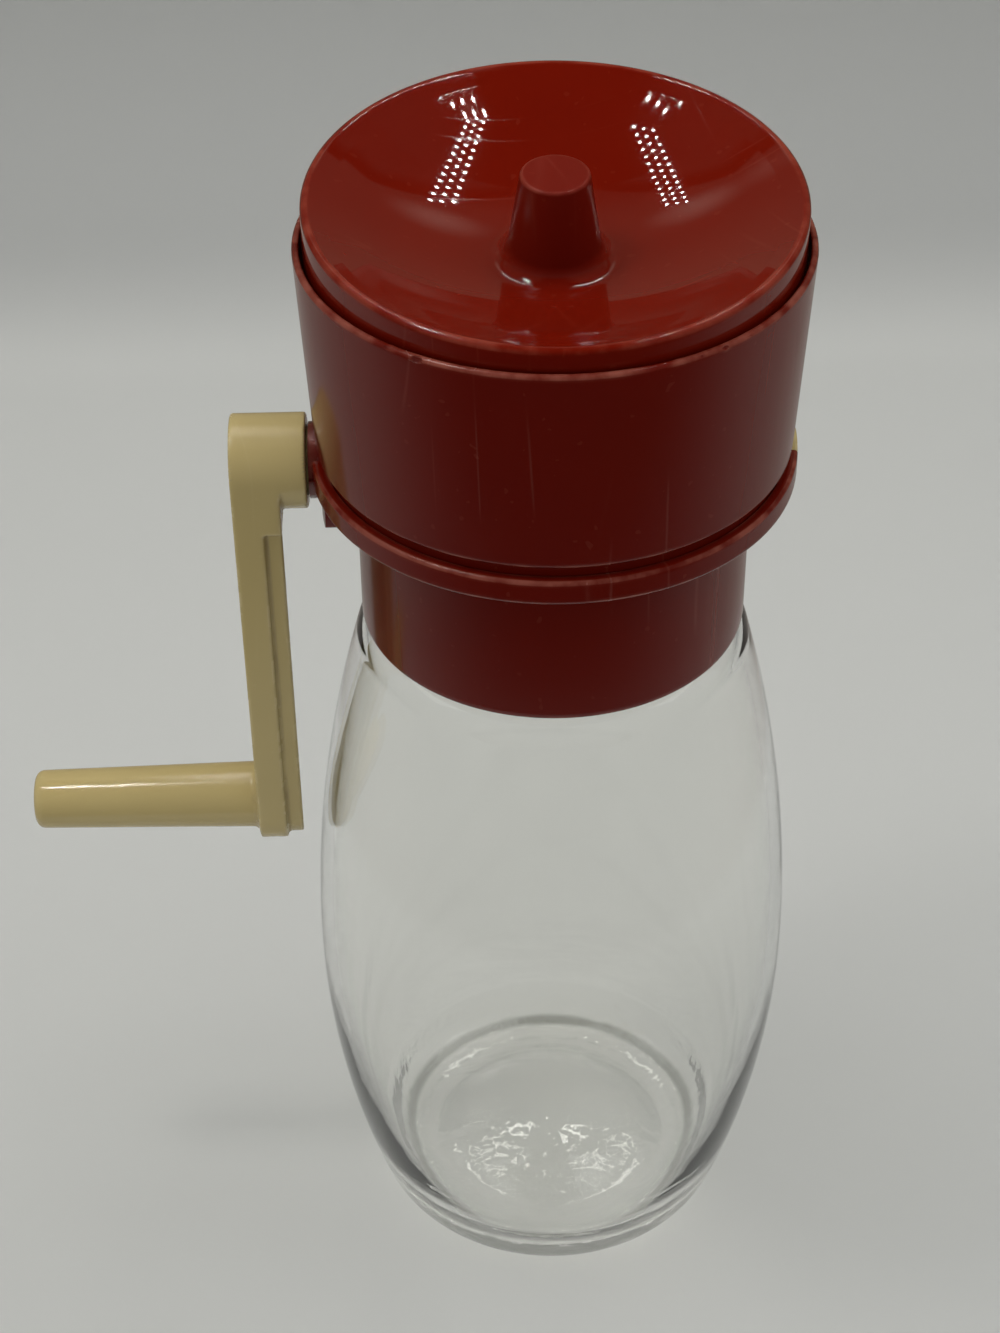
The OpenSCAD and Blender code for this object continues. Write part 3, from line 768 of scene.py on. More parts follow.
@dataclass
class GrindingHead:
    """Collar and hopper, with the saddles that hold the shaft between them."""

    socket_r: float = 31.7 * MM
    collar_r: float = 34.0 * MM
    flange_z: float = 174 * MM
    flange_top: float = 178.5 * MM
    tray_r: float = 39.5 * MM
    tray_z: float = 176 * MM
    seat_z: float = 161.3 * MM
    ledge_z: float = 163.3 * MM
    mouth_r: float = 27 * MM
    lug_r: float = 40.05 * MM
    lug_w: float = 16 * MM
    lug_z: float = 166 * MM
    shaft_z: float = 175 * MM
    saddle_r: float = 5.58 * MM
    thread_tip_r: float = 30.3 * MM
    thread_z: float = 148.9 * MM
    plug_r: float = 39.4 * MM
    plug_in_r: float = 37.3 * MM
    hopper_z: float = 180.5 * MM
    hopper_foot_r: float = 40.6 * MM
    hopper_mouth_r: float = 41.3 * MM
    lid_ledge_z: float = 209.5 * MM
    hopper_in_r: float = 39.5 * MM
    hopper_low_r: float = 38.55 * MM
    floor_low_r: float = 13 * MM
    floor_slope: float = 26.0
    floor_t: float = 2 * MM
    throat: Point = (23.55 * MM, 14 * MM)
    throat_wall: float = 2 * MM
    throat_z: float = 175.9 * MM
    edge: float = 0.7 * MM
    small_edge: float = 0.3 * MM
    mouth_edge: float = 0.4 * MM
    inner_edge: float = 0.2 * MM
    flange_fillet: float = 0.5 * MM
    floor_fillet: float = 3 * MM
    lap: float = 0.4 * MM
    reach: float = 60 * MM
    ear_r: float = 6.6 * MM
    ear_x: Point = (39.0 * MM, 41.75 * MM)
    ear_reach: Point = (2.0 * MM, 0.5 * MM)
    ear_gap: float = 0.02 * MM
    far_lug_x: float = 38.6 * MM
    chips: Tuple[Point, ...] = ((238.0, 1.5 * MM), (305.0, 1.1 * MM), (230.0, 0.9 * MM),
                                (299.0, 0.8 * MM), (98.0, 0.9 * MM), (246.0, 0.7 * MM),
                                (221.0, 0.7 * MM), (312.0, 0.7 * MM), (289.0, 0.6 * MM))
    steps: int = 144
    bore_steps: int = 64

    def floor_z(self, r: float) -> float:
        """Height of the sloped floor at a distance from the axis."""
        return self.hopper_z + (r - self.floor_low_r) * math.tan(math.radians(self.floor_slope))

    def shaft_cutter(self) -> Mesh:
        """Round bar along the shaft that cuts its passage."""
        bar = [(0, -self.reach), (self.saddle_r, -self.reach), (self.saddle_r, self.reach),
               (0, self.reach)]
        return Bench.turned("shaft_cutter", bar, self.bore_steps, Axis.SHAFT, self.shaft_z,
                            closed=False)

    def ear(self, side: int) -> Mesh:
        """Rim of the near bearing, beside the crank's boss.

        Args:
            side: 1 for the hopper's half above the shaft, -1 for the collar's half below it.

        Returns:
            The new piece.
        """
        near, far = self.ear_x
        ring = Bench.turned("bearing_ear", [(self.saddle_r, -far), (self.ear_r, -far),
                                            (self.ear_r, -near), (self.saddle_r, -near)],
                            self.bore_steps, Axis.SHAFT, self.shaft_z)
        wide = self.saddle_r + self.ear_reach[side > 0]
        ends = sorted((self.shaft_z + side * self.ear_gap, self.shaft_z + side * 2 * self.ear_r))
        half = Bench.box("ear_half", Vector((-far - 1 * MM, -wide, ends[0])),
                         Vector((-near + 1 * MM, wide, ends[1])))
        Bench.join(ring, half, Join.KEEP)
        return ring

    def build_collar(self) -> None:
        """Model the threaded collar with its flange and lugs."""
        low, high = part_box("collar")
        flange_r, edge, small, inner = high.y, self.edge, self.small_edge, self.inner_edge
        collar = Bench.turned("collar_moulding", rounded([
            Corner(self.socket_r, low.z, self.mouth_edge), Corner(self.collar_r, low.z, edge),
            Corner(self.collar_r, self.flange_z, self.flange_fillet),
            Corner(flange_r, self.flange_z, edge), Corner(flange_r, self.flange_top, edge),
            Corner(self.tray_r, self.flange_top, small), Corner(self.tray_r, self.tray_z, inner),
            Corner(self.socket_r, self.tray_z, small), Corner(self.socket_r, self.ledge_z, inner),
            Corner(self.mouth_r, self.ledge_z, small), Corner(self.mouth_r, self.seat_z, small),
            Corner(self.socket_r, self.seat_z, inner),
        ]), self.steps)
        lugs = Bench.box("lug_block", Vector((-self.lug_r - 3 * MM, -self.lug_w / 2, self.lug_z)),
                         Vector((self.far_lug_x, self.lug_w / 2, self.flange_z + self.lap)), edge)
        wall_r, wall_z = self.socket_r + 1 * MM, self.lug_z - 2 * MM
        wall = Bench.turned("lug_ring", [(wall_r, wall_z), (self.lug_r, wall_z),
                                         (self.lug_r, self.tray_z), (wall_r, self.tray_z)], self.steps)
        Bench.join(lugs, wall, Join.KEEP)
        Bench.join(collar, lugs, Join.ADD)
        Bench.join(collar, self.shaft_cutter(), Join.CUT)
        slot = Bench.box("saddle_slot", Vector((-self.reach, -self.saddle_r, self.shaft_z)),
                         Vector((self.reach, self.saddle_r, self.flange_top + 5 * MM)))
        Bench.join(collar, slot, Join.CUT)
        Bench.join(collar, self.ear(-1), Join.ADD)
        Bench.join(collar, SCREW.ridge("collar_thread", self.socket_r, self.thread_tip_r,
                                       self.thread_z), Join.ADD)
        Bench.smooth(collar)
        Bench.mark_edges(collar)
        dress(collar, RED.material(), Body.HEAD, Slot.RED, "collar")

    def chip_rim(self, hopper: Mesh, rim_r: float, rim_z: float) -> None:
        """Break small flakes out of the rim's outer edge.

        Args:
            hopper: Piece to chip.
            rim_r: Outer radius of the rim.
            rim_z: Height of the rim.
        """
        for angle, size in self.chips:
            flake = Bench.turned("flake", arc((0, 0), size, -90, 90, 8), 16, closed=False)
            Bench.pick(flake)
            out, turn = rim_r + 0.55 * size, math.radians(angle)
            flake.location = (out * math.cos(turn), out * math.sin(turn), rim_z + 0.1 * size)
            bpy.ops.object.transform_apply(location=True, rotation=False, scale=False)
            Bench.join(hopper, flake, Join.CUT)

    def build_hopper(self) -> None:
        """Model the hopper with its sloped floor, throat and upper saddles."""
        low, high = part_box("hopper")
        edge, small = self.edge, self.small_edge
        hopper = Bench.turned("hopper_moulding", rounded([
            Corner(self.plug_r, low.z, small), Corner(self.plug_r, self.hopper_z, small),
            Corner(self.hopper_foot_r, self.hopper_z, edge), Corner(high.y, high.z, edge),
            Corner(self.hopper_mouth_r, high.z, self.mouth_edge),
            Corner(self.hopper_mouth_r, self.lid_ledge_z, small),
            Corner(self.hopper_in_r, self.lid_ledge_z, self.mouth_edge),
            Corner(self.hopper_low_r, self.floor_z(self.hopper_low_r), self.floor_fillet),
            Corner(self.floor_low_r, self.hopper_z),
            Corner(self.floor_low_r, self.hopper_z - self.floor_t),
            Corner(self.plug_in_r, self.floor_z(self.plug_in_r) - self.floor_t),
            Corner(self.plug_in_r, low.z, small)]), self.steps)
        long_x, long_y = self.throat[0] + self.throat_wall, self.throat[1] + self.throat_wall
        walls = Bench.box("throat_walls", Vector((-long_x, -long_y, self.throat_z)),
                          Vector((long_x, long_y, high.z)))
        under = Bench.turned("under_floor", [
            (0, self.throat_z - 2 * MM), (self.plug_in_r, self.throat_z - 2 * MM),
            (self.plug_in_r, self.floor_z(self.plug_in_r) - self.lap),
            (self.floor_low_r, self.hopper_z - self.lap), (0, self.hopper_z - self.lap)],
            96, closed=False)
        Bench.join(walls, under, Join.KEEP)
        Bench.join(hopper, walls, Join.ADD)
        hole = Bench.box("throat_hole", Vector((-self.throat[0], -self.throat[1], low.z - 5 * MM)),
                         Vector((self.throat[0], self.throat[1], high.z)))
        Bench.join(hopper, hole, Join.CUT)
        Bench.join(hopper, self.shaft_cutter(), Join.CUT)
        Bench.join(hopper, self.ear(1), Join.ADD)
        self.chip_rim(hopper, high.y, high.z)
        Bench.smooth(hopper)
        Bench.mark_edges(hopper)
        dress(hopper, RED.material(), Body.HEAD, Slot.RED, "hopper")

    def build(self) -> None:
        """Model and dress the head and refinish the parts inside it."""
        self.build_collar()
        self.build_hopper()
        refinish("chute", RED.material())
        comb = COMB_STEEL.material()
        for node in ("coarse_comb", "fine_comb", "comb_rivets"):
            refinish(node, comb)
        refinish("jar_seal", WHITE_RUBBER.material())


@dataclass
class DishedLid:
    """Lid with a spherical dish, a steep band and lip round it and a tapered knob; it lies askew."""

    lid_r: float = 40.7 * MM
    skirt_h: float = 11.6 * MM
    wall: float = 1.8 * MM
    edge_r: float = 0.9 * MM
    lip_w: float = 2.6 * MM
    lip_slope: float = 30.2
    crease_r: float = 5 * MM
    band_w: float = 4.8 * MM
    band_slope: float = 28.1
    dish_slope: float = 28.9
    knob_h: float = 16.45 * MM
    knob_base_r: float = 7.5 * MM
    knob_top_r: float = 5.7 * MM
    knob_fillet: float = 3.2 * MM
    knob_edge: float = 0.6 * MM
    grip_gap: float = 0.6 * MM
    foot_edge: float = 0.3 * MM
    tilt: float = 5.6
    foot_z: float = 209.7 * MM
    seat_depth: float = 8 * MM
    steps: int = 192

    def section(self) -> List[Point]:
        """Section of the lid from the axis under its knob round to the knob's top.

        Returns:
            Distances from the axis and heights above the skirt's foot.
        """
        lip, flat, steep = (
            math.radians(slope) for slope in (self.lip_slope, self.band_slope, self.dish_slope))
        edge_c = Vector((self.lid_r - self.edge_r, self.skirt_h - self.edge_r))
        lip_top = edge_c + self.edge_r * Vector((-math.sin(lip), math.cos(lip)))
        crease = lip_top - self.lip_w * Vector((1, math.tan(lip)))
        band_r = self.band_w / (math.sin(steep) - math.sin(flat))
        band_c = crease - band_r * Vector((-math.sin(flat), math.cos(flat)))
        band = arc(tuple(band_c), band_r, 90 + self.band_slope, 90 + self.dish_slope, 8)
        ball_r = band[-1][0] / math.sin(steep)
        centre = (0.0, band[-1][1] + ball_r * math.cos(steep))
        dish_z = centre[1] - ball_r
        fillet_x = self.knob_base_r + self.knob_fillet
        inner_r = ball_r - self.knob_fillet
        foot_a = math.degrees(math.asin(fillet_x / inner_r))
        fillet = (fillet_x, centre[1] - inner_r * math.cos(math.radians(foot_a)))
        under_r = ball_r + self.wall
        under_knob = math.degrees(math.asin((self.knob_base_r - self.wall) / under_r))
        under_dish = arc(centre, under_r, under_knob - 90, self.dish_slope - 90, 30)
        in_r, edge, foot = self.lid_r - self.wall, self.knob_edge, self.foot_edge
        knob_z = dish_z + self.knob_h
        under = ([(0.0, knob_z - self.wall), (self.knob_top_r - self.wall, knob_z - self.wall)]
                 + under_dish
                 + [(in_r, under_dish[-1][1] + (in_r - under_dish[-1][0]) * math.tan(steep))])
        skirt = [(in_r, foot), (in_r + foot, 0.0), (self.lid_r - foot, 0.0), (self.lid_r, foot),
                 (self.lid_r, 2 * foot), (self.lid_r, self.skirt_h - 1.4 * self.edge_r)]
        top = (arc(tuple(edge_c), self.edge_r, 0, 90 + self.lip_slope, 10)
               + rounded([Corner(*lip_top.lerp(crease, 0.1)), Corner(*crease, self.crease_r),
                          Corner(*band[1])], closed=False, hold=0.3 * MM)
               + band[2:]
               + arc(centre, ball_r, self.dish_slope - 90, foot_a - 90, 48)[1:]
               + arc(fillet, self.knob_fillet, foot_a - 90, -180, 12)[1:])
        knob = (arc((self.knob_top_r - edge, knob_z - edge), edge, 0, 90, 6)
                + [(self.knob_top_r - 2 * edge, knob_z), (0.5 * self.knob_top_r, knob_z),
                   (0.0, knob_z)])
        return under + skirt + top + knob

    def build(self) -> None:
        """Model the lid, lay it askew in the hopper's mouth and dress it."""
        lid = Bench.turned("lid_moulding", self.section(), self.steps, closed=False)
        grip_r = self.knob_base_r + self.grip_gap
        Bench.mark(lid, "handled", [float(v.co.xy.length < grip_r) for v in lid.data.vertices])
        Bench.pick(lid)
        tilt = math.radians(self.tilt)
        lid.rotation_euler = (tilt, 0, 0)
        lid.location = (0, self.seat_depth / 2 * math.sin(tilt),
                        self.foot_z + self.lid_r * math.sin(tilt))
        bpy.ops.object.transform_apply(location=True, rotation=True, scale=False)
        Bench.smooth(lid)
        Bench.mark_edges(lid)
        dress(lid, RED_LID.material(), Body.LID, Slot.RED, "lid")


@dataclass
class Crank:
    """Cream crank in one moulding, and the rotor that it turns."""

    shaft_z: float = 175 * MM
    journal_r: float = 5.5 * MM
    shoulder_r: float = 7 * MM
    shoulder_t: float = 1.5 * MM
    boss_r: float = 8.25 * MM
    boss_in: float = 42.1 * MM
    arm_in: float = 46.8 * MM
    bar_in: float = 49.9 * MM
    arm_out: float = 55.1 * MM
    arm_w: float = 16.5 * MM
    rib_setback: float = 1.1 * MM
    rib_draft: float = 4.5
    root_h: float = 1.8 * MM
    stub_r: float = 4.2 * MM
    stub_x: float = 40.2 * MM
    throw: float = 75.8 * MM
    handle_root_r: float = 6.2 * MM
    handle_tip_r: float = 5.5 * MM
    tip_round: float = 1.6 * MM
    root_fillet: float = 1.2 * MM
    overlap: float = 0.5 * MM
    polish_gap: float = 5 * MM
    end_inset: float = 0.4 * MM
    voxel: float = 0.3 * MM
    relax_rounds: int = 8
    steps: int = 128

    def bar(self, name: str, width: float, x_in: float, x_out: float) -> Mesh:
        """Bar of the arm with round ends.

        Args:
            name: Name of the new piece.
            width: Width of the bar.
            x_in: Distance of its inner face from the middle.
            x_out: Distance of its outer face from the middle.

        Returns:
            The new piece.
        """
        Bench.clear()
        bpy.ops.mesh.primitive_circle_add(vertices=96, radius=width / 2, fill_type="NGON")
        piece = Bench.begin(name)
        bpy.ops.transform.rotate(value=math.pi / 2, orient_axis="Y", center_override=(0, 0, 0))
        bpy.ops.transform.translate(value=(-x_in, 0, self.shaft_z))
        net = bmesh.from_edit_mesh(piece.data)
        for vert in net.verts:
            vert.select = vert.co.z < self.shaft_z - 0.001 * MM
        net.select_flush_mode()
        bmesh.update_edit_mesh(piece.data)
        bpy.ops.transform.translate(value=(0, 0, -self.throw))
        bpy.ops.mesh.select_all(action="SELECT")
        bpy.ops.mesh.extrude_region_move(TRANSFORM_OT_translate={"value": (x_in - x_out, 0, 0)})
        Bench.heal()
        return piece

    def build_crank(self) -> None:
        """Model handle, arm, boss and near journal, melt them together and dress them."""
        low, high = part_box("crank")
        handle_z = self.shaft_z - self.throw
        tip_x, root = low.x, -self.arm_out
        fillet, tip = self.root_fillet, self.tip_round
        crank = self.bar("crank_moulding", self.arm_w, self.bar_in, self.arm_out)
        rib = self.bar("arm_rib", self.arm_w - 2 * self.rib_setback, self.arm_in,
                       self.bar_in + self.overlap)
        lean = math.tan(math.radians(self.rib_draft))
        for vert in rib.data.vertices:
            if vert.co.x > -self.arm_in - 0.1 * MM:
                vert.co.x -= lean * (vert.co.y + self.arm_w / 2 - self.rib_setback)
        root_block = Bench.box("arm_root", Vector((-self.bar_in - self.overlap, -self.arm_w / 2,
                                                   self.shaft_z - self.boss_r - self.root_h)),
                               Vector((-self.arm_in, self.arm_w / 2, self.shaft_z)))
        boss = Bench.turned("boss", [(0, -self.boss_in), (self.boss_r, -self.boss_in),
                                     (self.boss_r, root), (0, root)],
                            self.steps, Axis.SHAFT, self.shaft_z, closed=False)
        journal = Bench.turned("near_journal", [
            (0, high.x), (self.shoulder_r, high.x), (self.shoulder_r, high.x - self.shoulder_t),
            (self.journal_r, high.x - self.shoulder_t), (self.journal_r, -self.boss_in - 1 * MM),
            (0, -self.boss_in - 1 * MM)], self.steps, Axis.SHAFT, self.shaft_z, closed=False)
        flare = [(r, root - along) for r, along in arc(
            (self.handle_root_r + fillet, fillet), fillet, 270, 180, 8)]
        end = [(r, tip_x + along) for r, along in arc(
            (self.handle_tip_r - tip, tip), tip, 0, -90, 8)]
        inside = [(0, root + 1 * MM), (self.handle_root_r + fillet, root + 1 * MM)]
        handle = Bench.turned("handle", inside + flare + end + [(0, tip_x)], self.steps, Axis.SHAFT,
                              handle_z, closed=False)
        for part in (rib, root_block, boss, journal, handle):
            Bench.join(crank, part, Join.ADD)
        Bench.modify(crank, "REMESH", mode="VOXEL", voxel_size=self.voxel)
        Bench.modify(crank, "SMOOTH", factor=0.5, iterations=self.relax_rounds)
        Bench.smooth(crank, 80)
        Bench.mark_edges(crank, 200, 900)
        polish_x = root - self.polish_gap
        Bench.mark(crank, "polished", [max(0.0, min(1.0, (v.co.x - polish_x) / (tip_x - polish_x)))
                                       for v in crank.data.vertices])
        dress(crank, CREAM.material(), Body.ROTOR, Slot.CREAM, "crank")

    def build_end_journal(self) -> None:
        """Model the far journal, whose end shows beside the flange."""
        low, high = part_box("end_journal")
        end_x = high.x - self.end_inset
        journal = Bench.turned("far_journal", rounded([
            Corner(0, low.x), Corner(self.shoulder_r, low.x, 0.3 * MM),
            Corner(self.shoulder_r, low.x + self.shoulder_t, 0.3 * MM),
            Corner(self.journal_r, low.x + self.shoulder_t, 0.2 * MM),
            Corner(self.journal_r, self.stub_x, 0.3 * MM), Corner(self.stub_r, self.stub_x, 0.2 * MM),
            Corner(self.stub_r, end_x, 0.6 * MM), Corner(0.4 * self.stub_r, end_x),
            Corner(0, end_x)], closed=False), 96, Axis.SHAFT, self.shaft_z, closed=False)
        Bench.smooth(journal)
        Bench.mark_edges(journal)
        dress(journal, CREAM.material(), Body.ROTOR, Slot.CREAM, "end_journal")

    def build(self) -> None:
        """Model the crank and the far journal and refinish the rotor."""
        self.build_crank()
        self.build_end_journal()
        blade, bar = BLADE_STEEL.material(), SHAFT_STEEL.material()
        refinish("shaft", bar)
        for node in sorted(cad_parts):
            if node.startswith("rotor_blade"):
                refinish(node, blade)
            elif node.startswith("rotor_spacer"):
                refinish(node, bar)


@dataclass
class Studio:
    """Pale sweep, soft lamps and the camera at the photograph's angle."""

    sensor: float = 36.0
    focus_pixels: float = 2600
    image_height: float = 1333
    target: Place = (-9.52 * MM, 0.0, 128.38 * MM)
    distance: float = 474.93 * MM
    pitch: float = 38.809
    roll: float = -0.594
    swing: float = -1.33
    paper: Colour = (0.612, 0.619, 0.596)
    # Darker tone painted on the backdrop above the fold: painted shade.
    wall_shade_tone: Colour = (0.412, 0.418, 0.406)
    # Painted reflection: the floor's dimmer, warmer colour as glossy rays see it.
    mirror_paper: Colour = (0.38, 0.345, 0.315)
    # Painted shadow under the jar's foot, seen through the glass.
    heel_gloom: Colour = (0.20, 0.205, 0.18)
    # Painted dark reflection of the floor in front.
    front_gloom: Colour = (0.01, 0.01, 0.01)
    # Painted reflections of the upper wall: its dim tone, a dark band and a lamp's glow.
    wall_gloom: Colour = (0.21, 0.18, 0.13)
    wall_gap: Colour = (0.03, 0.02, 0.01)
    wall_glow: Colour = (0.90, 0.82, 0.68)
    # Painted glints, seen only through the glass.
    glint: Colour = (1.0, 0.99, 0.96)
    # Places and strengths of the painted shade, shadow, reflections and glints on the sweep.
    fold_y: Point = (0.305, 0.362)
    foot_r: Point = (0.030, 0.035)
    ring_in: Point = (0.0308, 0.0326)
    ring_out: Point = (0.0338, 0.0356)
    foot_share: float = 0.22
    ring_share: float = 0.7
    mirror_from: Point = (0.175, 0.215)
    raised_z: Point = (0.0, 0.09)
    front_y: Point = (-0.26, 0.04)
    glow_place: Place = (0.212, 0.40, 0.67)
    glow_reach: Point = (0.0, 0.11)
    glint_place: Place = (0.17, 0.40, 0.72)
    glint_reach: Point = (0.05, 0.10)
    glint_light: float = 90.0
    gap_lean: float = 1.9
    gap_start: Point = (1.33, 1.38)
    gap_end: Point = (1.45, 1.75)
    sweep_front: float = -1.6
    sweep_y: float = 0.30
    sweep_r: float = 0.10
    sweep_top: float = 1.2
    half_width: float = 1.6
    lamp_place: Place = (0.40, 0.0, 0.88)
    lamp_aim: Place = (0.06, -0.05, 0.0)
    lamp_size: Point = (0.55, 0.9)
    lamp_power: Point = (1.70, 2.06)
    dot_r: float = 1.3 * MM
    dot_columns: int = 3
    dot_light: float = 220.0
    far_light: float = 900.0
    dot_colour: Colour = (1.0, 0.98, 0.95)
    room_light: float = 0.50
    room_colour: Colour = (1.0, 1.0, 0.99)
    # Painted sheen: the world's colour and strength as glossy rays see it.
    sheen_colour: Colour = (1.0, 0.87, 0.68)
    sheen_base: float = 0.006
    sheen_gain: float = 0.11
    sheen_side: Point = (0.22, 0.5)

    def build_camera(self) -> None:
        """Place the camera."""
        pitch, roll = math.radians(self.pitch), math.radians(self.roll)
        back = Vector((0, -math.cos(pitch), math.sin(pitch)))
        right = Vector((1, 0, 0))
        up = right.cross(-back)
        across = math.cos(roll) * right + math.sin(roll) * up
        along = math.cos(roll) * up - math.sin(roll) * right
        turn = Matrix((across, along, back)).transposed().to_4x4()
        move = Matrix.Translation(Vector(self.target) + self.distance * back)
        swing = Matrix.Rotation(math.radians(self.swing), 4, "Z")
        data = bpy.data.cameras.new("photo_camera")
        data.sensor_fit = "AUTO"
        data.sensor_width = self.sensor
        data.lens = self.sensor * self.focus_pixels / self.image_height
        data.clip_start = 0.01
        camera = bpy.data.objects.new("photo_camera", data)
        bpy.context.scene.collection.objects.link(camera)
        camera.matrix_world = swing @ move @ turn
        bpy.context.scene.camera = camera

    def build_sweep(self) -> None:
        """Model the paper sweep that is floor and backdrop, open to a camera behind or under it."""
        bend = arc((self.sweep_y, self.sweep_r), self.sweep_r, -90, 0, 20)
        profile = [(self.sweep_front, 0.0), (0.0, 0.0), *bend,
                   (self.sweep_y + self.sweep_r, self.sweep_top)]
        sweep = Bench.wire("paper_sweep", [Vector((-self.half_width, y, z)) for y, z in profile])
        bpy.ops.mesh.extrude_region_move(
            TRANSFORM_OT_translate={"value": (2 * self.half_width, 0, 0)})
        Bench.heal()
        if sum(face.normal.z * face.area for face in sweep.data.polygons) < 0:
            sweep.data.flip_normals()
        Bench.smooth(sweep, 60)
        material = self.sweep_material()
        # The sweep's painted glints are not sampled as a light.
        material.cycles.emission_sampling = "NONE"
        sweep.data.materials.append(material)

    def sweep_material(self) -> bpy.types.Material:
        """Material of the sweep, with a backdrop painted darker as painted shade; where a piece
        mirrors it, it shows painted reflections with a lamp's painted glow, and where glass bends it,
        a painted shadow and painted glints.
        """
        g = Graph.material("pale_paper")
        through = g.ray("Is Transmission Ray")
        x, y, z = (g.along(axis) for axis in "XYZ")
        from_axis = g.node("ShaderNodeVectorMath", {"operation": "LENGTH"}, {0: g.place()},
                           out="Value")
        # Glossy rays away from the jar see the sweep as painted reflection instead of its paper
        # colour.
        glossy = g.ray("Is Glossy Ray") * (1 - through) * from_axis.ramp(*self.mirror_from)
        # The backdrop above the fold is painted darker as painted shade; a faint noise mixes some of
        # the same darker tone into the paper.
        paper = g.blend(y.ramp(*self.fold_y), self.paper, self.wall_shade_tone)
        paper = g.blend(0.1 * g.noise(2.2, 2.0), paper, self.wall_shade_tone)
        # Painted shadow under the jar's foot, seen only through the glass: a disc and a ring darkened
        # toward heel_gloom.
        ring = from_axis.ramp(*self.ring_in) * (1 - from_axis.ramp(*self.ring_out))
        under = self.foot_share * (1 - from_axis.ramp(*self.foot_r)) + self.ring_share * ring
        paper = g.blend(under * through, paper, self.heel_gloom)
        paper = g.blend(glossy, paper, self.mirror_paper)
        places = g.node("ShaderNodeVectorMath", {"operation": "ABSOLUTE"}, {0: g.place()})
        apart, glint_apart = (g.node("ShaderNodeVectorMath", {"operation": "DISTANCE"}, {
            0: places, 1: spot}, out="Value") for spot in (self.glow_place, self.glint_place))
        # Painted reflection of the upper wall for glossy rays: a dim tone with a lamp's painted glow
        # near glow_place and a painted dark band between two slanted heights.
        mirrored = g.blend(1 - apart.ramp(*self.glow_reach), self.wall_gloom, self.wall_glow)
        height = z + self.gap_lean * g.size(x)
        gap = height.ramp(*self.gap_start) * (1 - height.ramp(*self.gap_end))
        mirrored = g.blend(gap, mirrored, self.wall_gap)
        paper = g.blend(glossy * z.ramp(*self.raised_z), paper, mirrored)
        # Painted dark reflection of the floor in front, for glossy rays.
        front = (1 - y.ramp(*self.front_y)) * glossy
        # Painted glints: the wall glows near glint_place only for transmission rays, so the glass
        # floor shows bright highlights.
        glint = (1 - glint_apart.ramp(*self.glint_reach)) * through
        sheet = g.shader({
            "Base Color": g.blend(front, paper, self.front_gloom), "Roughness": 0.75,
            "Emission Color": g.blend(glint, (0.0, 0.0, 0.0), self.glint),
            "Emission Strength": self.glint_light})
        behind = g.node("ShaderNodeNewGeometry", out="Backfacing") * g.ray("Is Camera Ray")
        return g.finish(g.node("ShaderNodeMixShader", {}, {
            0: behind, 1: sheet, 2: g.node("ShaderNodeBsdfTransparent")}))

    def dot_panel(self, name: str, first: Vector, row: Vector, column: Vector, rows: int,
                  light: float) -> None:
        """Hang a panel of small round lamps, which the glossy lid mirrors.

        Args:
            name: Name of the panel.
            first: Middle of its front row.
            row: Step from one row to the next.
            column: Step from one column to the next.
            rows: Number of rows.
            light: Strength of each lamp.
        """
        Bench.clear()
        bpy.ops.mesh.primitive_circle_add(vertices=16, radius=self.dot_r, fill_type="NGON")
        panel = bpy.context.object
        panel.name = panel.data.name = name
        for count, step in ((self.dot_columns, column), (rows, row)):
            Bench.modify(panel, "ARRAY", count=count, use_relative_offset=False,
                         use_constant_offset=True, constant_offset_displace=step)
        panel.location = first - column * (self.dot_columns - 1) / 2
        g = Graph.material(name)
        panel.data.materials.append(g.finish(g.node("ShaderNodeEmission", {}, {
            "Color": self.dot_colour, "Strength": light})))

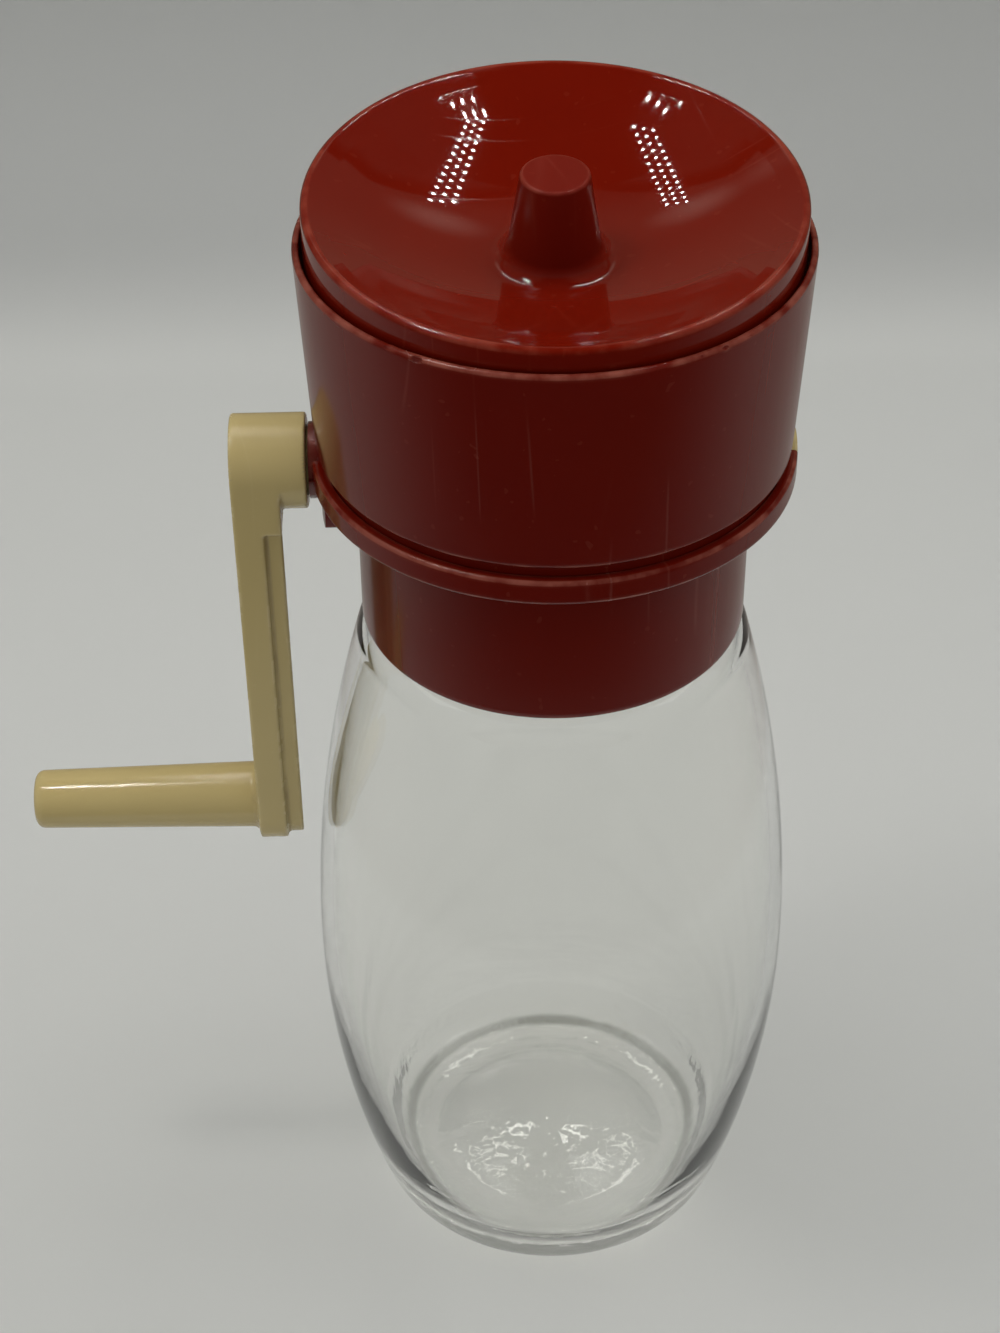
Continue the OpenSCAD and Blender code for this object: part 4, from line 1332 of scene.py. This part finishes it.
    def lamp(self, name: str, side: int, power: float) -> None:
        """Add an area lamp on one side.

        Args:
            name: Name of the lamp.
            side: -1 for the left, 1 for the right.
            power: Its power in watts.
        """
        mirror = Vector((side, 1, 1))
        place, aim = Vector(self.lamp_place) * mirror, Vector(self.lamp_aim) * mirror
        data = bpy.data.lights.new(name, "AREA")
        data.shape = "RECTANGLE"
        data.size, data.size_y = self.lamp_size
        data.energy = power
        lamp = bpy.data.objects.new(name, data)
        bpy.context.scene.collection.objects.link(lamp)
        lamp.location = place
        lamp.rotation_euler = (aim - place).to_track_quat("-Z", "Y").to_euler()
        lamp.visible_glossy = False

    def build_light(self) -> None:
        """Hang the lamps and the dot panels and set the world's light and the painted sheen that
        glossy rays see in it.
        """
        self.lamp("panel_left", -1, self.lamp_power[0])
        self.lamp("panel_right", 1, self.lamp_power[1])
        self.dot_panel("dots_right", Vector((0.100, 0.0294, 0.560)),
                       Vector((-0.0001, 0.0119, -0.0082)), Vector((-0.0111, -0.0081, 0)), 13,
                       self.dot_light)
        self.dot_panel("dots_left", Vector((-0.1011, 0.0593, 0.560)),
                       Vector((-0.0012, 0.0152, -0.0023)), Vector((-0.0119, 0.0088, 0)), 13,
                       self.dot_light)
        self.dot_panel("dots_far_left", Vector((-0.150, -0.030, 0.560)), Vector((-0.012, 0.0, 0)),
                       Vector((0, 0.020, 0)), 6, self.far_light)
        g = Graph(bpy.data.worlds.new("room"))
        across = g.node("ShaderNodeSeparateXYZ", {}, {
            0: g.node("ShaderNodeTexCoord", out="Generated")})
        # Glossy rays see a painted sheen, brighter to the sides, in place of the room's light.
        sheen = self.sheen_base + self.sheen_gain * g.size(across).ramp(*self.sheen_side)
        glossy = g.ray("Is Glossy Ray") * (1 - g.ray("Is Transmission Ray"))
        bpy.context.scene.world = g.finish(g.node("ShaderNodeBackground", {}, {
            "Color": g.blend(glossy, self.room_colour, self.sheen_colour),
            "Strength": glossy * sheen + (1 - glossy) * self.room_light}))

    def build(self) -> None:
        """Set up camera, sweep and light."""
        self.build_camera()
        self.build_sweep()
        self.build_light()
        bpy.context.scene.view_settings.view_transform = "Standard"
        LOG.info("studio ready")


def main() -> None:
    """Build the whole scene in order."""
    logging.basicConfig(level=logging.INFO, format="%(message)s")
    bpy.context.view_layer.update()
    Studio().build()
    for assembly in (GlassJar(), GrindingHead(), DishedLid(), Crank()):
        assembly.build()
    Bench.clear()


if __name__ == "__main__":
    main()
